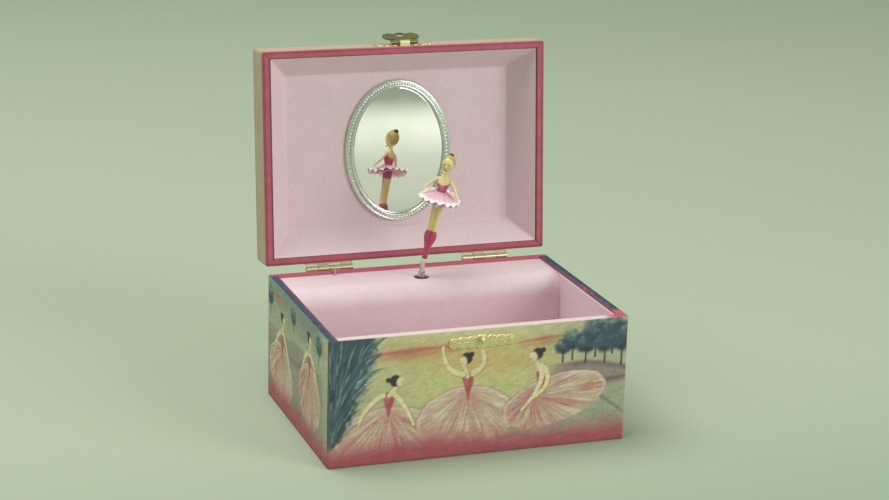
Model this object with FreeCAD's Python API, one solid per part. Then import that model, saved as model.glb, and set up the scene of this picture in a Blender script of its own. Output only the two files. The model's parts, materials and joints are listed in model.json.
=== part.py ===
import FreeCAD, Part

import math
import os

# Wind-up music box with a turning dancer.
# Millimetres, +Z up, origin at the middle of the underside, -Y is the front.
# The lid is drawn open on its stop, and the dancer stands on her spring.

V = FreeCAD.Vector
X, Y, Z = V(1, 0, 0), V(0, 1, 0), V(0, 0, 1)

# Carcass
BOX_W = 152.0
BOX_D = 110.0
BASE_H = 64.0
LID_H = 18.5
CORNER_R = 1.2
PAPER = 0.3
LINER = 0.5
RIM_SIDE = 4.5
RIM_FRONT = 4.0
RIM_LIP = 1.2
BOTTOM_BOARD = 3.0
TOP_BOARD = 2.2
UNDER_TURN = 8.0
LID_GAP = 0.3

# Movement cover that also carries the dancer
PLATFORM_FRONT = 22.0
PLATFORM_DROP = 1.2
PLATFORM_CARD = 1.2
PLATFORM_NOSE = 10.0
SPINDLE_HOLE_R = 4.0

# Lid lining and mirror
LINING_BACK_W = 121.0
LINING_BACK_D = 81.0
MIRROR_W = 57.8
MIRROR_D = 75.0
MIRROR_RIM = 4.4
MIRROR_H = 3.0
MIRROR_Y = 1.0
GLASS_T = 1.2
GLASS_LIP = 1.2

# Hinges
LID_OPEN = 95.0
HINGE_BACK = 3.0
HINGE_X = 42.5
HINGE_W = 25.0
LEAF_H = 11.0
LEAF_T = 0.8
KNUCKLE_R = 1.6
KNUCKLES = 4
KNUCKLE_GAP = 0.2
HINGE_PIN_R = 0.6
RUN = 0.05
FIT = 0.01

# Brads and screws
BRAD_R = 0.5
BRAD_HEAD_R = 1.0
BRAD_HEAD = 0.4
BRAD_L = 3.0
SCREW_R = 1.0
SCREW_HEAD_R = 1.9
SCREW_HEAD = 1.2
SLOT_W = 0.5
PLATE_SCREW_L = 5.0

# Clasp and catch
CLASP_W = 31.0
CLASP_H = 7.4
CLASP_T = 0.6
CLASP_UP = 2.4
FLAP_W = 19.5
FLAP_L = 11.2
FLAP_T = 0.7
FLAP_R = 1.1
FLAP_OUT = 1.9
FLAP_REST = 162.0
CATCH_W = 34.0
CATCH_H = 7.8
CATCH_T = 0.8
CATCH_DROP = 6.6
STUD_R = 1.6
STUD_OUT = 3.6
STUD_DOWN = 8.1
STUD_HOLE_R = 2.1

# Movement
MODULE = 0.5
SPINDLE_Y = 35.5
CYLINDER_TEETH = 36
SPINDLE_TEETH = 12
GOVERNOR_TEETH = 10
ARBOR_TEETH = 8
BARREL_TEETH = 48
WORM_WHEEL_TEETH = 24
WORM_STARTS = 2
GEAR_T = 1.5
BEDPLATE_T = 3.0
BARREL_R = 11.4
BARREL_WALL = 0.8
WIND_R = 2.0
CYLINDER_R = 6.5
CYLINDER_L = 19.0
ARBOR_R = 1.0
PIN_R = 0.2
PIN_UP = 0.8
PLUCK_GAP = 0.15
COMB_TEETH = 18
COMB_BASE = 9.0
COMB_T = 1.2
TOOTH_T = 0.5
FLY_R = 3.6
WORM_R = 1.6
LUG_T = 1.5
PIVOT_R = 0.7
KEY_R = 11.0
KEY_STEM = 7.0
KEY_GAP = 1.0
STOP_X = -42.0
STOP_R = 0.45
STOP_TRAVEL = 1.2
STOP_GAP = 0.15
STOP_UP = 2.8

# Dancer
FERRULE_R = 1.9
SPRING_R = 1.6
SPRING_WIRE = 0.5
FOLD_UP = 3.0
FEET_UP = 8.0
LEAN = 12.5
LEAN_TO = -19.6
FACING = -125.0
TUTU_R = 10.6
TUTU_T = 2.4
TUTU_AT = 33.4

# Levels and planes that follow
HINGE_Y = BOX_D / 2 + HINGE_BACK
LID_Z = BASE_H + LID_GAP
LID_TOP = LID_Z + LID_H
OPEN_X = BOX_W / 2 - RIM_SIDE
OPEN_Y = BOX_D / 2 - RIM_FRONT
BOARD_X = OPEN_X + LINER
BOARD_Y = OPEN_Y + LINER
FLOOR_Z = PAPER + BOTTOM_BOARD
PLATFORM_TOP = BASE_H - PLATFORM_DROP
BAY_TOP = PLATFORM_TOP - PLATFORM_CARD
LINING_Z = LID_TOP - PAPER - TOP_BOARD - LINER
CATCH_Z = BASE_H - CATCH_DROP
BED_Y = BOARD_Y - BEDPLATE_T
STOP_Y = OPEN_Y - 1.4
FLAP_Y = -BOX_D / 2 - FLAP_OUT
FLAP_Z = LID_Z + CLASP_UP


def block(x0, x1, y0, y1, z0, z1):
    return Part.makeBox(x1 - x0, y1 - y0, z1 - z0, V(x0, y0, z0))


def centred(width, depth, z0, z1, y=0.0):
    return block(-width / 2, width / 2, y - depth / 2, y + depth / 2, z0, z1)


def rod(radius, start, end):
    along = end - start
    return Part.makeCylinder(radius, along.Length, start, along)


def tube(outer, inner, start, end):
    return rod(outer, start, end).cut(rod(inner, start, end))


def joined(shapes):
    first, *rest = shapes
    return first.multiFuse(rest).removeSplitter() if rest else first


def turned(shape, centre, axis, degrees):
    copy = shape.copy()
    copy.rotate(centre, axis, degrees)
    return copy


def moved(shape, x=0.0, y=0.0, z=0.0):
    copy = shape.copy()
    copy.translate(V(x, y, z))
    return copy


def rounded(shape, radius):
    """Rounds the upright edges of a block."""
    upright = [e for e in shape.Edges if abs(e.tangentAt(e.FirstParameter).z) > 0.99]
    return shape.makeFillet(radius, upright)


def rectangle(half_x, half_y, z):
    corners = [V(-half_x, -half_y, z), V(half_x, -half_y, z), V(half_x, half_y, z), V(-half_x, half_y, z)]
    return Part.makePolygon(corners + corners[:1])


def frustum(low, high):
    """A solid between two rectangles, each given as half width, half depth and height."""
    return Part.makeLoft([rectangle(*low), rectangle(*high)], True, True)


def oval(half_x, half_y, z0, z1, y=0.0):
    major, minor = max(half_x, half_y), min(half_x, half_y)
    ellipse = Part.Ellipse(V(0, 0, 0), major, minor).toShape()
    if half_y > half_x:
        ellipse.rotate(V(0, 0, 0), Z, 90)
    ellipse.translate(V(0, y, z0))
    return Part.Face(Part.Wire([ellipse])).extrude(V(0, 0, z1 - z0))


def revolved(profile, base=V(0, 0, 0)):
    """Turns a list of (radius, height) points about the upright axis through base."""
    points = [base + V(r, 0, h) for r, h in profile]
    return Part.Face(Part.makePolygon(points + points[:1])).revolve(base, Z, 360)


def open_lid(shape):
    """Carries a piece of the closed lid to the open lid."""
    return turned(shape, V(0, HINGE_Y, BASE_H), X, -LID_OPEN)


def save(name, *shapes):
    shape = shapes[0] if len(shapes) == 1 else Part.makeCompound(list(shapes))
    shape.exportStep(os.path.join("parts", name + ".step"))


def brad(point, inward):
    """A round-headed brad whose head rests on point and whose shank runs inward."""
    head = rod(BRAD_HEAD_R, point - inward * BRAD_HEAD, point)
    return joined([head, rod(BRAD_R, point, point + inward * BRAD_L)])


def brad_hole(point, inward):
    return rod(BRAD_R + FIT, point - inward, point + inward * (BRAD_L + FIT))


def screw(point, inward, length):
    """A slotted cheese-head screw whose head rests on point."""
    top = point - inward * SCREW_HEAD
    shape = joined([rod(SCREW_HEAD_R, top, point), rod(SCREW_R, point, point + inward * length)])
    corner = V(-SCREW_HEAD_R, -SLOT_W / 2, -SCREW_HEAD / 2)
    slot = Part.makeBox(2 * SCREW_HEAD_R, SLOT_W, SCREW_HEAD, corner)
    slot.Placement = FreeCAD.Placement(top, FreeCAD.Rotation(Z, inward)).multiply(slot.Placement)
    return shape.cut(slot)


def screw_hole(point, inward, length):
    return rod(SCREW_R + FIT, point, point + inward * (length + FIT))


# The movement, worked out downward from the platform and outward from the spindle
WHEEL_Z = BAY_TOP - 4.9
LUG_Z = WHEEL_Z - 0.7 - LUG_T
WORM_Z = LUG_Z + 0.6
CYLINDER_TOP = LUG_Z - 1.0
CYLINDER_Z = CYLINDER_TOP - CYLINDER_L
LOW_LUG_Z = CYLINDER_Z - 1.0 - LUG_T
PINION_L = 2.4
PINION_Z = LOW_LUG_Z - 0.3 - PINION_L / 2
CROWN_R = MODULE * BARREL_TEETH / 2
BARREL_Z = PINION_Z - CROWN_R
CYLINDER_X = -MODULE * (CYLINDER_TEETH + SPINDLE_TEETH) / 2
GOVERNOR_X = CYLINDER_X - MODULE * (CYLINDER_TEETH + GOVERNOR_TEETH) / 2
WORM_X = GOVERNOR_X - MODULE * WORM_WHEEL_TEETH / 2 - WORM_R
FLY_Y = SPINDLE_Y + math.pi * MODULE * WORM_STARTS + 2.4
BED_X0, BED_X1 = CYLINDER_X - 28, CYLINDER_X + 34
BED_SCREW_L = BOX_D / 2 - BED_Y - 0.3
BED_SCREW_XS = (BED_X0 + 6, BED_X1 - 8)
BED_SCREW_ZS = (BARREL_Z - 6.5, CYLINDER_TOP - 7.5)
BED_SCREWS = [V(x, BOX_D / 2, z) for x in BED_SCREW_XS for z in BED_SCREW_ZS]
BRIDGE_HALF = CROWN_R + 1.2 + 3.4
BRIDGE_Y = SPINDLE_Y - MODULE * ARBOR_TEETH / 2 - 1.6
COMB_Y = SPINDLE_Y - TOOTH_T / 2
COMB_TIP_X = CYLINDER_X + CYLINDER_R + PIN_UP + PLUCK_GAP
COMB_ROOT_X = COMB_TIP_X + 11.0

# Where the brads and screws go, on the closed box

def hinge_brads(side):
    """Places of the brads of one hinge on the base and on the closed lid."""
    xs = [side * HINGE_X + s * HINGE_W * 0.34 for s in (-1, 1)]
    base = [V(x, BOX_D / 2 + LEAF_T, BASE_H - LEAF_H * 0.62) for x in xs]
    lid = [V(x, BOX_D / 2 + LEAF_T, LID_Z + LEAF_H * 0.62) for x in xs]
    return base, lid


HINGE_BASE_BRADS = [p for side in (-1, 1) for p in hinge_brads(side)[0]]
HINGE_LID_BRADS = [p for side in (-1, 1) for p in hinge_brads(side)[1]]
CLASP_BRADS = [V(s * CLASP_W * 0.45, -BOX_D / 2 - CLASP_T, FLAP_Z + CLASP_H * 0.35) for s in (-1, 1)]
CATCH_BRADS = [V(s * CATCH_W * 0.42, -BOX_D / 2 - CATCH_T, CATCH_Z) for s in (-1, 1)]


def gear(teeth, thickness, tooth_at=0.0, bore=0.0, twist=0.0):
    """An upright spur gear at the origin with one tooth centred at an angle in degrees."""
    pitch_r = teeth * MODULE / 2
    root_r, tip_r = pitch_r - 1.2 * MODULE, pitch_r + 0.85 * MODULE
    step = 2 * math.pi / teeth
    outline = []
    corners = ((root_r, -0.31), (tip_r, -0.115), (tip_r, 0.115), (root_r, 0.31))
    for i in range(teeth):
        for radius, share in corners:
            angle = math.radians(tooth_at) + (i + share) * step
            outline.append(V(radius * math.cos(angle), radius * math.sin(angle), 0))
    wire = Part.makePolygon(outline + outline[:1])
    if twist:
        top = turned(moved(wire, z=thickness), V(0, 0, 0), Z, twist)
        wire.rotate(V(0, 0, 0), Z, -twist)
        body = Part.makeLoft([wire, top], True, True)
    else:
        body = Part.Face(wire).extrude(V(0, 0, thickness))
    return body.cut(rod(bore, V(0, 0, -1), V(0, 0, thickness + 1))) if bore else body


# Carcass of the base

def base_boards():
    """Five boards glued edge to edge, inside the paper."""
    out_x, out_y = BOX_W / 2 - PAPER, BOX_D / 2 - PAPER
    top = BASE_H - PAPER
    front = block(-out_x, out_x, -out_y, -BOARD_Y, PAPER, top)
    back = block(-out_x, out_x, BOARD_Y, out_y, PAPER, top)
    for point in CATCH_BRADS + [V(0, -BOX_D / 2 - CATCH_T, FLAP_Z - STUD_DOWN)]:
        front = front.cut(brad_hole(point, Y))
    for point in HINGE_BASE_BRADS:
        back = back.cut(brad_hole(point, -Y))
    back = back.cut(rod(WIND_R + 2, V(CYLINDER_X, BOARD_Y - 1, BARREL_Z), V(CYLINDER_X, BOX_D, BARREL_Z)))
    for point in BED_SCREWS:
        back = back.cut(screw_hole(point, -Y, BED_SCREW_L))
    save("base_front_panel", front)
    save("base_back_panel", back)
    save("base_left_panel", block(-out_x, -BOARD_X, -BOARD_Y, BOARD_Y, PAPER, top))
    save("base_right_panel", block(BOARD_X, out_x, -BOARD_Y, BOARD_Y, PAPER, top))
    save("base_bottom_panel", centred(2 * BOARD_X, 2 * BOARD_Y, PAPER, FLOOR_Z))


def base_wrap():
    """Printed paper over the four walls, turned over the rim and under the bottom."""
    wrap = rounded(centred(BOX_W, BOX_D, 0, BASE_H), CORNER_R)
    wrap = wrap.cut(centred(BOX_W - 2 * PAPER, BOX_D - 2 * PAPER, PAPER, BASE_H - PAPER))
    wrap = wrap.cut(centred(2 * OPEN_X, 2 * OPEN_Y, BASE_H / 2, BASE_H + 1))
    lip = centred(2 * BOARD_X, 2 * BOARD_Y, BASE_H - RIM_LIP, BASE_H - PAPER)
    wrap = joined([wrap, lip.cut(centred(2 * OPEN_X, 2 * OPEN_Y, 0, BASE_H))])
    wrap = wrap.cut(centred(BOX_W - 2 * UNDER_TURN, BOX_D - 2 * UNDER_TURN, -1, 1))
    for point in CATCH_BRADS + [V(0, -BOX_D / 2 - CATCH_T, FLAP_Z - STUD_DOWN)]:
        wrap = wrap.cut(brad_hole(point, Y))
    for point in HINGE_BASE_BRADS:
        wrap = wrap.cut(brad_hole(point, -Y))
    wrap = wrap.cut(rod(WIND_R + 2, V(CYLINDER_X, BOARD_Y, BARREL_Z), V(CYLINDER_X, BOX_D, BARREL_Z)))
    for point in BED_SCREWS:
        wrap = wrap.cut(screw_hole(point, -Y, BED_SCREW_L))
    save("base_paper_wrap", wrap)
    save("base_bottom_cover", centred(BOX_W - 2 * UNDER_TURN, BOX_D - 2 * UNDER_TURN, 0, PAPER))


def compartment_liner():
    """Card tray against the front and side boards, ending at the platform."""
    low, back = FLOOR_Z, PLATFORM_FRONT
    tray = block(-BOARD_X, BOARD_X, -BOARD_Y, back, low, BASE_H - RIM_LIP)
    inner = block(-OPEN_X, OPEN_X, -OPEN_Y, back + 1, low + LINER, BASE_H)
    save("compartment_liner", tray.cut(inner))


def movement_platform():
    """Folded card with a rounded nose, over the movement."""
    front, back, card, nose = PLATFORM_FRONT, BOARD_Y, PLATFORM_CARD, PLATFORM_NOSE

    def section(inset):
        r = nose - inset
        top, y = PLATFORM_TOP - inset, front + inset
        mid = V(0, front + nose - r * math.sqrt(0.5), PLATFORM_TOP - nose + r * math.sqrt(0.5))
        arc = Part.Arc(V(0, y, PLATFORM_TOP - nose), mid, V(0, front + nose, top)).toShape()
        corners = [V(0, front + nose, top), V(0, back, top), V(0, back, FLOOR_Z), V(0, y, FLOOR_Z)]
        lines = Part.makePolygon(corners + [arc.Vertexes[0].Point]).Edges
        return Part.Face(Part.Wire([arc] + lines)).extrude(V(2 * BOARD_X, 0, 0))

    shell = moved(section(0), x=-BOARD_X).cut(moved(section(card), x=-BOARD_X))
    spindle = V(0, SPINDLE_Y, BAY_TOP - 1)
    stop = V(STOP_X, STOP_Y, BAY_TOP - 1)
    shell = shell.cut(rod(SPINDLE_HOLE_R, spindle, spindle + Z * 4))
    shell = shell.cut(rod(STOP_R + 0.4, stop, stop + Z * 4))
    save("movement_platform", shell)


# Lid, drawn closed and then opened

def lid_boards():
    out_x, out_y = BOX_W / 2 - PAPER, BOX_D / 2 - PAPER
    low, high = LID_Z + PAPER, LID_TOP - PAPER - TOP_BOARD
    front = block(-out_x, out_x, -out_y, -BOARD_Y, low, high)
    back = block(-out_x, out_x, BOARD_Y, out_y, low, high)
    for point in CLASP_BRADS:
        front = front.cut(brad_hole(point, Y))
    for point in HINGE_LID_BRADS:
        back = back.cut(brad_hole(point, -Y))
    save("lid_front_panel", open_lid(front))
    save("lid_back_panel", open_lid(back))
    save("lid_left_panel", open_lid(block(-out_x, -BOARD_X, -BOARD_Y, BOARD_Y, low, high)))
    save("lid_right_panel", open_lid(block(BOARD_X, out_x, -BOARD_Y, BOARD_Y, low, high)))
    save("lid_top_panel", open_lid(centred(2 * out_x, 2 * out_y, high, high + TOP_BOARD)))


def lid_wrap():
    """Printed paper over the top and the four sides, turned over the rim."""
    wrap = rounded(centred(BOX_W, BOX_D, LID_Z, LID_TOP), CORNER_R)
    wrap = wrap.cut(centred(BOX_W - 2 * PAPER, BOX_D - 2 * PAPER, LID_Z + PAPER, LID_TOP - PAPER))
    wrap = wrap.cut(centred(2 * OPEN_X, 2 * OPEN_Y, LID_Z - 1, LID_Z + PAPER + 1))
    for point in CLASP_BRADS:
        wrap = wrap.cut(brad_hole(point, Y))
    for point in HINGE_LID_BRADS:
        wrap = wrap.cut(brad_hole(point, -Y))
    save("lid_paper_wrap", open_lid(wrap))


def lid_liner():
    """Card tray with four sloping walls and a flat back for the mirror."""
    mouth, back = LID_Z + PAPER, LINING_Z
    half_w, half_d = LINING_BACK_W / 2, LINING_BACK_D / 2
    outer = frustum((BOARD_X, BOARD_Y, mouth), (half_w + LINER, half_d + LINER, back + LINER))
    inner = frustum((OPEN_X, OPEN_Y, mouth), (half_w, half_d, back))
    save("lid_liner", open_lid(outer.cut(inner)))


def mirror():
    """Oval glass held against the lining by a stepped metal frame."""
    half_x, half_y, rim = MIRROR_W / 2, MIRROR_D / 2, MIRROR_RIM
    bead, low = 1.6, LINING_Z - MIRROR_H
    mid = LINING_Z - MIRROR_H * 0.5
    frame = joined([
        oval(half_x, half_y, mid, LINING_Z, MIRROR_Y),
        oval(half_x - bead, half_y - bead, low, LINING_Z, MIRROR_Y),
    ])
    frame = frame.cut(oval(half_x - rim, half_y - rim, low - 1, LINING_Z + 1, MIRROR_Y))
    seat_x, seat_y = half_x - rim + GLASS_LIP, half_y - rim + GLASS_LIP
    frame = frame.cut(oval(seat_x, seat_y, LINING_Z - GLASS_T, LINING_Z + 1, MIRROR_Y))
    save("mirror_frame", open_lid(frame))
    glass = oval(seat_x - FIT, seat_y - FIT, LINING_Z - GLASS_T, LINING_Z, MIRROR_Y)
    save("mirror_glass", open_lid(glass))


# Hardware

def hinge(side, name):
    """A butt hinge whose barrel stands behind the back, with a stop at the open lid."""
    centre = V(side * HINGE_X, HINGE_Y, BASE_H)
    start = centre.x - HINGE_W / 2
    pitch = HINGE_W / KNUCKLES
    back = BOX_D / 2
    heel, stop_gap = 0.8, 0.1
    opened = math.radians(LID_OPEN)
    heel_low = min(KNUCKLE_R * math.cos(opened), (KNUCKLE_R - LEAF_T) * math.cos(opened))
    heel_depth = (KNUCKLE_R + heel) * math.sin(opened) - heel_low
    under = BASE_H - KNUCKLE_R
    base = [block(start, start + HINGE_W, back, back + LEAF_T, BASE_H - LEAF_H, under + LEAF_T)]
    lid = [block(start, start + HINGE_W, back, back + LEAF_T, LID_Z + KNUCKLE_R - LEAF_T, LID_Z + LEAF_H)]
    for i in range(KNUCKLES):
        x0, x1 = start + i * pitch + KNUCKLE_GAP / 2, start + (i + 1) * pitch - KNUCKLE_GAP / 2
        barrel = rod(KNUCKLE_R, V(x0, HINGE_Y, BASE_H), V(x1, HINGE_Y, BASE_H))
        if i % 2 == 0:
            base += [barrel, block(x0, x1, back, HINGE_Y, under, under + LEAF_T)]
        else:
            top = BASE_H + KNUCKLE_R
            lid += [barrel, block(x0, x1, back, HINGE_Y + heel + KNUCKLE_R, top - LEAF_T, top)]
            lug_top = BASE_H - heel_depth - stop_gap
            lug = block(x0, x1, back, HINGE_Y + KNUCKLE_R + heel, lug_top - LEAF_T, lug_top)
            base.append(lug)
    left, right = V(start, HINGE_Y, BASE_H), V(start + HINGE_W, HINGE_Y, BASE_H)
    clear = rod(HINGE_PIN_R + FIT, left - X, right + X)
    loose = rod(HINGE_PIN_R + RUN, left - X, right + X)
    base_leaf = joined(base).cut(clear)
    lid_leaf = joined(lid).cut(loose)
    for point in hinge_brads(side)[0]:
        base_leaf = base_leaf.cut(brad_hole(point, -Y))
    for point in hinge_brads(side)[1]:
        lid_leaf = lid_leaf.cut(brad_hole(point, -Y))
    save("hinge_base_leaf_" + name, base_leaf)
    save("hinge_lid_leaf_" + name, open_lid(lid_leaf))
    save("hinge_pin_" + name, rod(HINGE_PIN_R, left, right))


def scalloped(width, height, thickness):
    """A stamped plate: a row of overlapping lobes that grow toward the middle, front face at y = 0."""
    half_w, half_h = width / 2, height / 2
    lobes = [(0.0, half_h), (half_w * 0.36, half_h * 0.80), (half_w * 0.62, half_h * 0.66)]
    end_r = half_h * 0.55
    lobes.append((half_w - end_r, end_r))
    shapes = [block(-half_w + end_r, half_w - end_r, 0, thickness, -half_h * 0.5, half_h * 0.5)]
    for x, r in lobes:
        for side in (-1, 1) if x else (1,):
            shapes.append(rod(r, V(side * x, 0, 0), V(side * x, thickness, 0)))
    return joined(shapes)


def catch():
    """Scalloped catch plate with a domed stud on the front of the base."""
    front = -BOX_D / 2
    stud_z = FLAP_Z - STUD_DOWN
    plate = moved(scalloped(CATCH_W, CATCH_H, CATCH_T), y=front - CATCH_T, z=CATCH_Z)
    shank = V(0, front - CATCH_T, stud_z)
    for point in CATCH_BRADS + [shank]:
        plate = plate.cut(brad_hole(point, Y))
    save("catch_plate", plate)
    tip = shank - Y * (STUD_OUT - STUD_R * 0.6)
    dome = Part.makeSphere(STUD_R, tip).common(rod(STUD_R, tip - Y * STUD_R * 0.6, tip + Y * 0.1))
    save("catch_stud", joined([rod(STUD_R, tip, shank), dome, rod(BRAD_R, shank, shank + Y * BRAD_L)]))
    save("catch_brads", *[brad(p, Y) for p in CATCH_BRADS])


def clasp():
    """Clasp plate on the lid front with a flap that swings down over the stud."""
    front = -BOX_D / 2
    plate = moved(scalloped(CLASP_W, CLASP_H, CLASP_T), y=front - CLASP_T, z=FLAP_Z + CLASP_H * 0.35)
    knuckle, gap = 2.6, KNUCKLE_GAP
    reach = 7.0
    web = block(-knuckle, knuckle, FLAP_Y, front, FLAP_Z - FLAP_R, FLAP_Z - FLAP_R + CLASP_T)
    axis = rod(FLAP_R, V(-knuckle, FLAP_Y, FLAP_Z), V(knuckle, FLAP_Y, FLAP_Z))
    bore = rod(HINGE_PIN_R + FIT, V(-20, FLAP_Y, FLAP_Z), V(20, FLAP_Y, FLAP_Z))
    plate = joined([plate, web, axis]).cut(bore)
    for point in CLASP_BRADS:
        plate = plate.cut(brad_hole(point, Y))
    save("clasp_plate", open_lid(plate))
    save("clasp_brads", *[open_lid(brad(p, Y)) for p in CLASP_BRADS])
    pin = rod(HINGE_PIN_R, V(-reach, FLAP_Y, FLAP_Z), V(reach, FLAP_Y, FLAP_Z))
    save("clasp_pin", open_lid(pin))

    y0, y1 = FLAP_Y - FLAP_T / 2, FLAP_Y + FLAP_T / 2
    lobe_r = FLAP_W * 0.19
    lobe_x, low = FLAP_W / 2 - lobe_r, FLAP_Z - FLAP_L + lobe_r
    shapes = [
        rod(lobe_r, V(-lobe_x, y0, low + 0.6), V(-lobe_x, y1, low + 0.6)),
        rod(lobe_r, V(lobe_x, y0, low + 0.6), V(lobe_x, y1, low + 0.6)),
        rod(lobe_r, V(0, y0, low), V(0, y1, low)),
        block(-lobe_x, lobe_x, y0, y1, low - lobe_r * 0.35, low + lobe_r * 0.7),
        block(-reach * 0.7, reach * 0.7, y0, y1, low, FLAP_Z - FLAP_R - gap),
    ]
    loose = rod(HINGE_PIN_R + RUN, V(-20, FLAP_Y, FLAP_Z), V(20, FLAP_Y, FLAP_Z))
    for side in (-1, 1):
        x0, x1 = sorted((side * (knuckle + gap), side * reach))
        shapes.append(rod(FLAP_R, V(x0, FLAP_Y, FLAP_Z), V(x1, FLAP_Y, FLAP_Z)))
        shapes.append(block(max(x0, -reach), min(x1, reach), y0, y1, FLAP_Z - FLAP_R - 1.0, FLAP_Z))
    flap = joined(shapes).cut(loose)
    stud = V(0, y0 - 1, FLAP_Z - STUD_DOWN)
    flap = flap.cut(rod(STUD_HOLE_R, stud, stud + Y * 4))
    swung = turned(flap, V(0, FLAP_Y, FLAP_Z), X, -FLAP_REST)
    save("clasp_flap", open_lid(swung))


# Movement

def movement_bedplate():
    """Cast plate on the back board, with lugs, barrel posts and the comb block."""
    plate = rounded_bed()
    lug = block(CYLINDER_X - 2.6, CYLINDER_X + 2.6, SPINDLE_Y - 2.4, BED_Y, 0, LUG_T)
    parts = [plate, moved(lug, z=LOW_LUG_Z), moved(lug, z=LUG_Z), moved(lug, x=-CYLINDER_X, z=LUG_Z)]
    for side in (-1, 1):
        x = CYLINDER_X + side * BRIDGE_HALF
        parts.append(rod(2.4, V(x, BRIDGE_Y, BARREL_Z), V(x, BED_Y + 1, BARREL_Z)))
    parts.append(block(COMB_ROOT_X, BED_X1 - 4, COMB_Y + COMB_T, BED_Y + 1, CYLINDER_Z, CYLINDER_TOP))
    bed = joined(parts)
    for x, z in ((CYLINDER_X, LOW_LUG_Z), (CYLINDER_X, LUG_Z), (0, LUG_Z)):
        foot = V(x, SPINDLE_Y, z - 0.1)
        bed = bed.cut(rod(ARBOR_R + RUN, foot, foot + Z * (LUG_T + 0.2)))
    bed = bed.cut(rod(WIND_R + RUN, V(CYLINDER_X, BED_Y - 1, BARREL_Z), V(CYLINDER_X, BOX_D, BARREL_Z)))
    for point in BED_SCREWS:
        bed = bed.cut(screw_hole(point, -Y, BED_SCREW_L))
    for point in bridge_screws():
        bed = bed.cut(screw_hole(point, Y, PLATE_SCREW_L))
    for point in comb_screws():
        bed = bed.cut(screw_hole(point, Y, PLATE_SCREW_L))
    save("movement_bedplate", bed)
    save("movement_screws", *[screw(p, -Y, BED_SCREW_L) for p in BED_SCREWS])


def rounded_bed():
    plate = block(BED_X0, BED_X1, BED_Y, BOARD_Y, BOTTOM_BOARD + 3, BAY_TOP - 1)
    corners = [e for e in plate.Edges if abs(e.tangentAt(e.FirstParameter).y) > 0.99]
    return plate.makeFillet(4.0, corners)


def bridge_screws():
    return [V(CYLINDER_X + s * BRIDGE_HALF, BRIDGE_Y - LUG_T, BARREL_Z) for s in (-1, 1)]


def comb_screws():
    x = COMB_ROOT_X + COMB_BASE * 0.55
    return [V(x, COMB_Y, CYLINDER_Z + CYLINDER_L * share) for share in (0.22, 0.78)]


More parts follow.
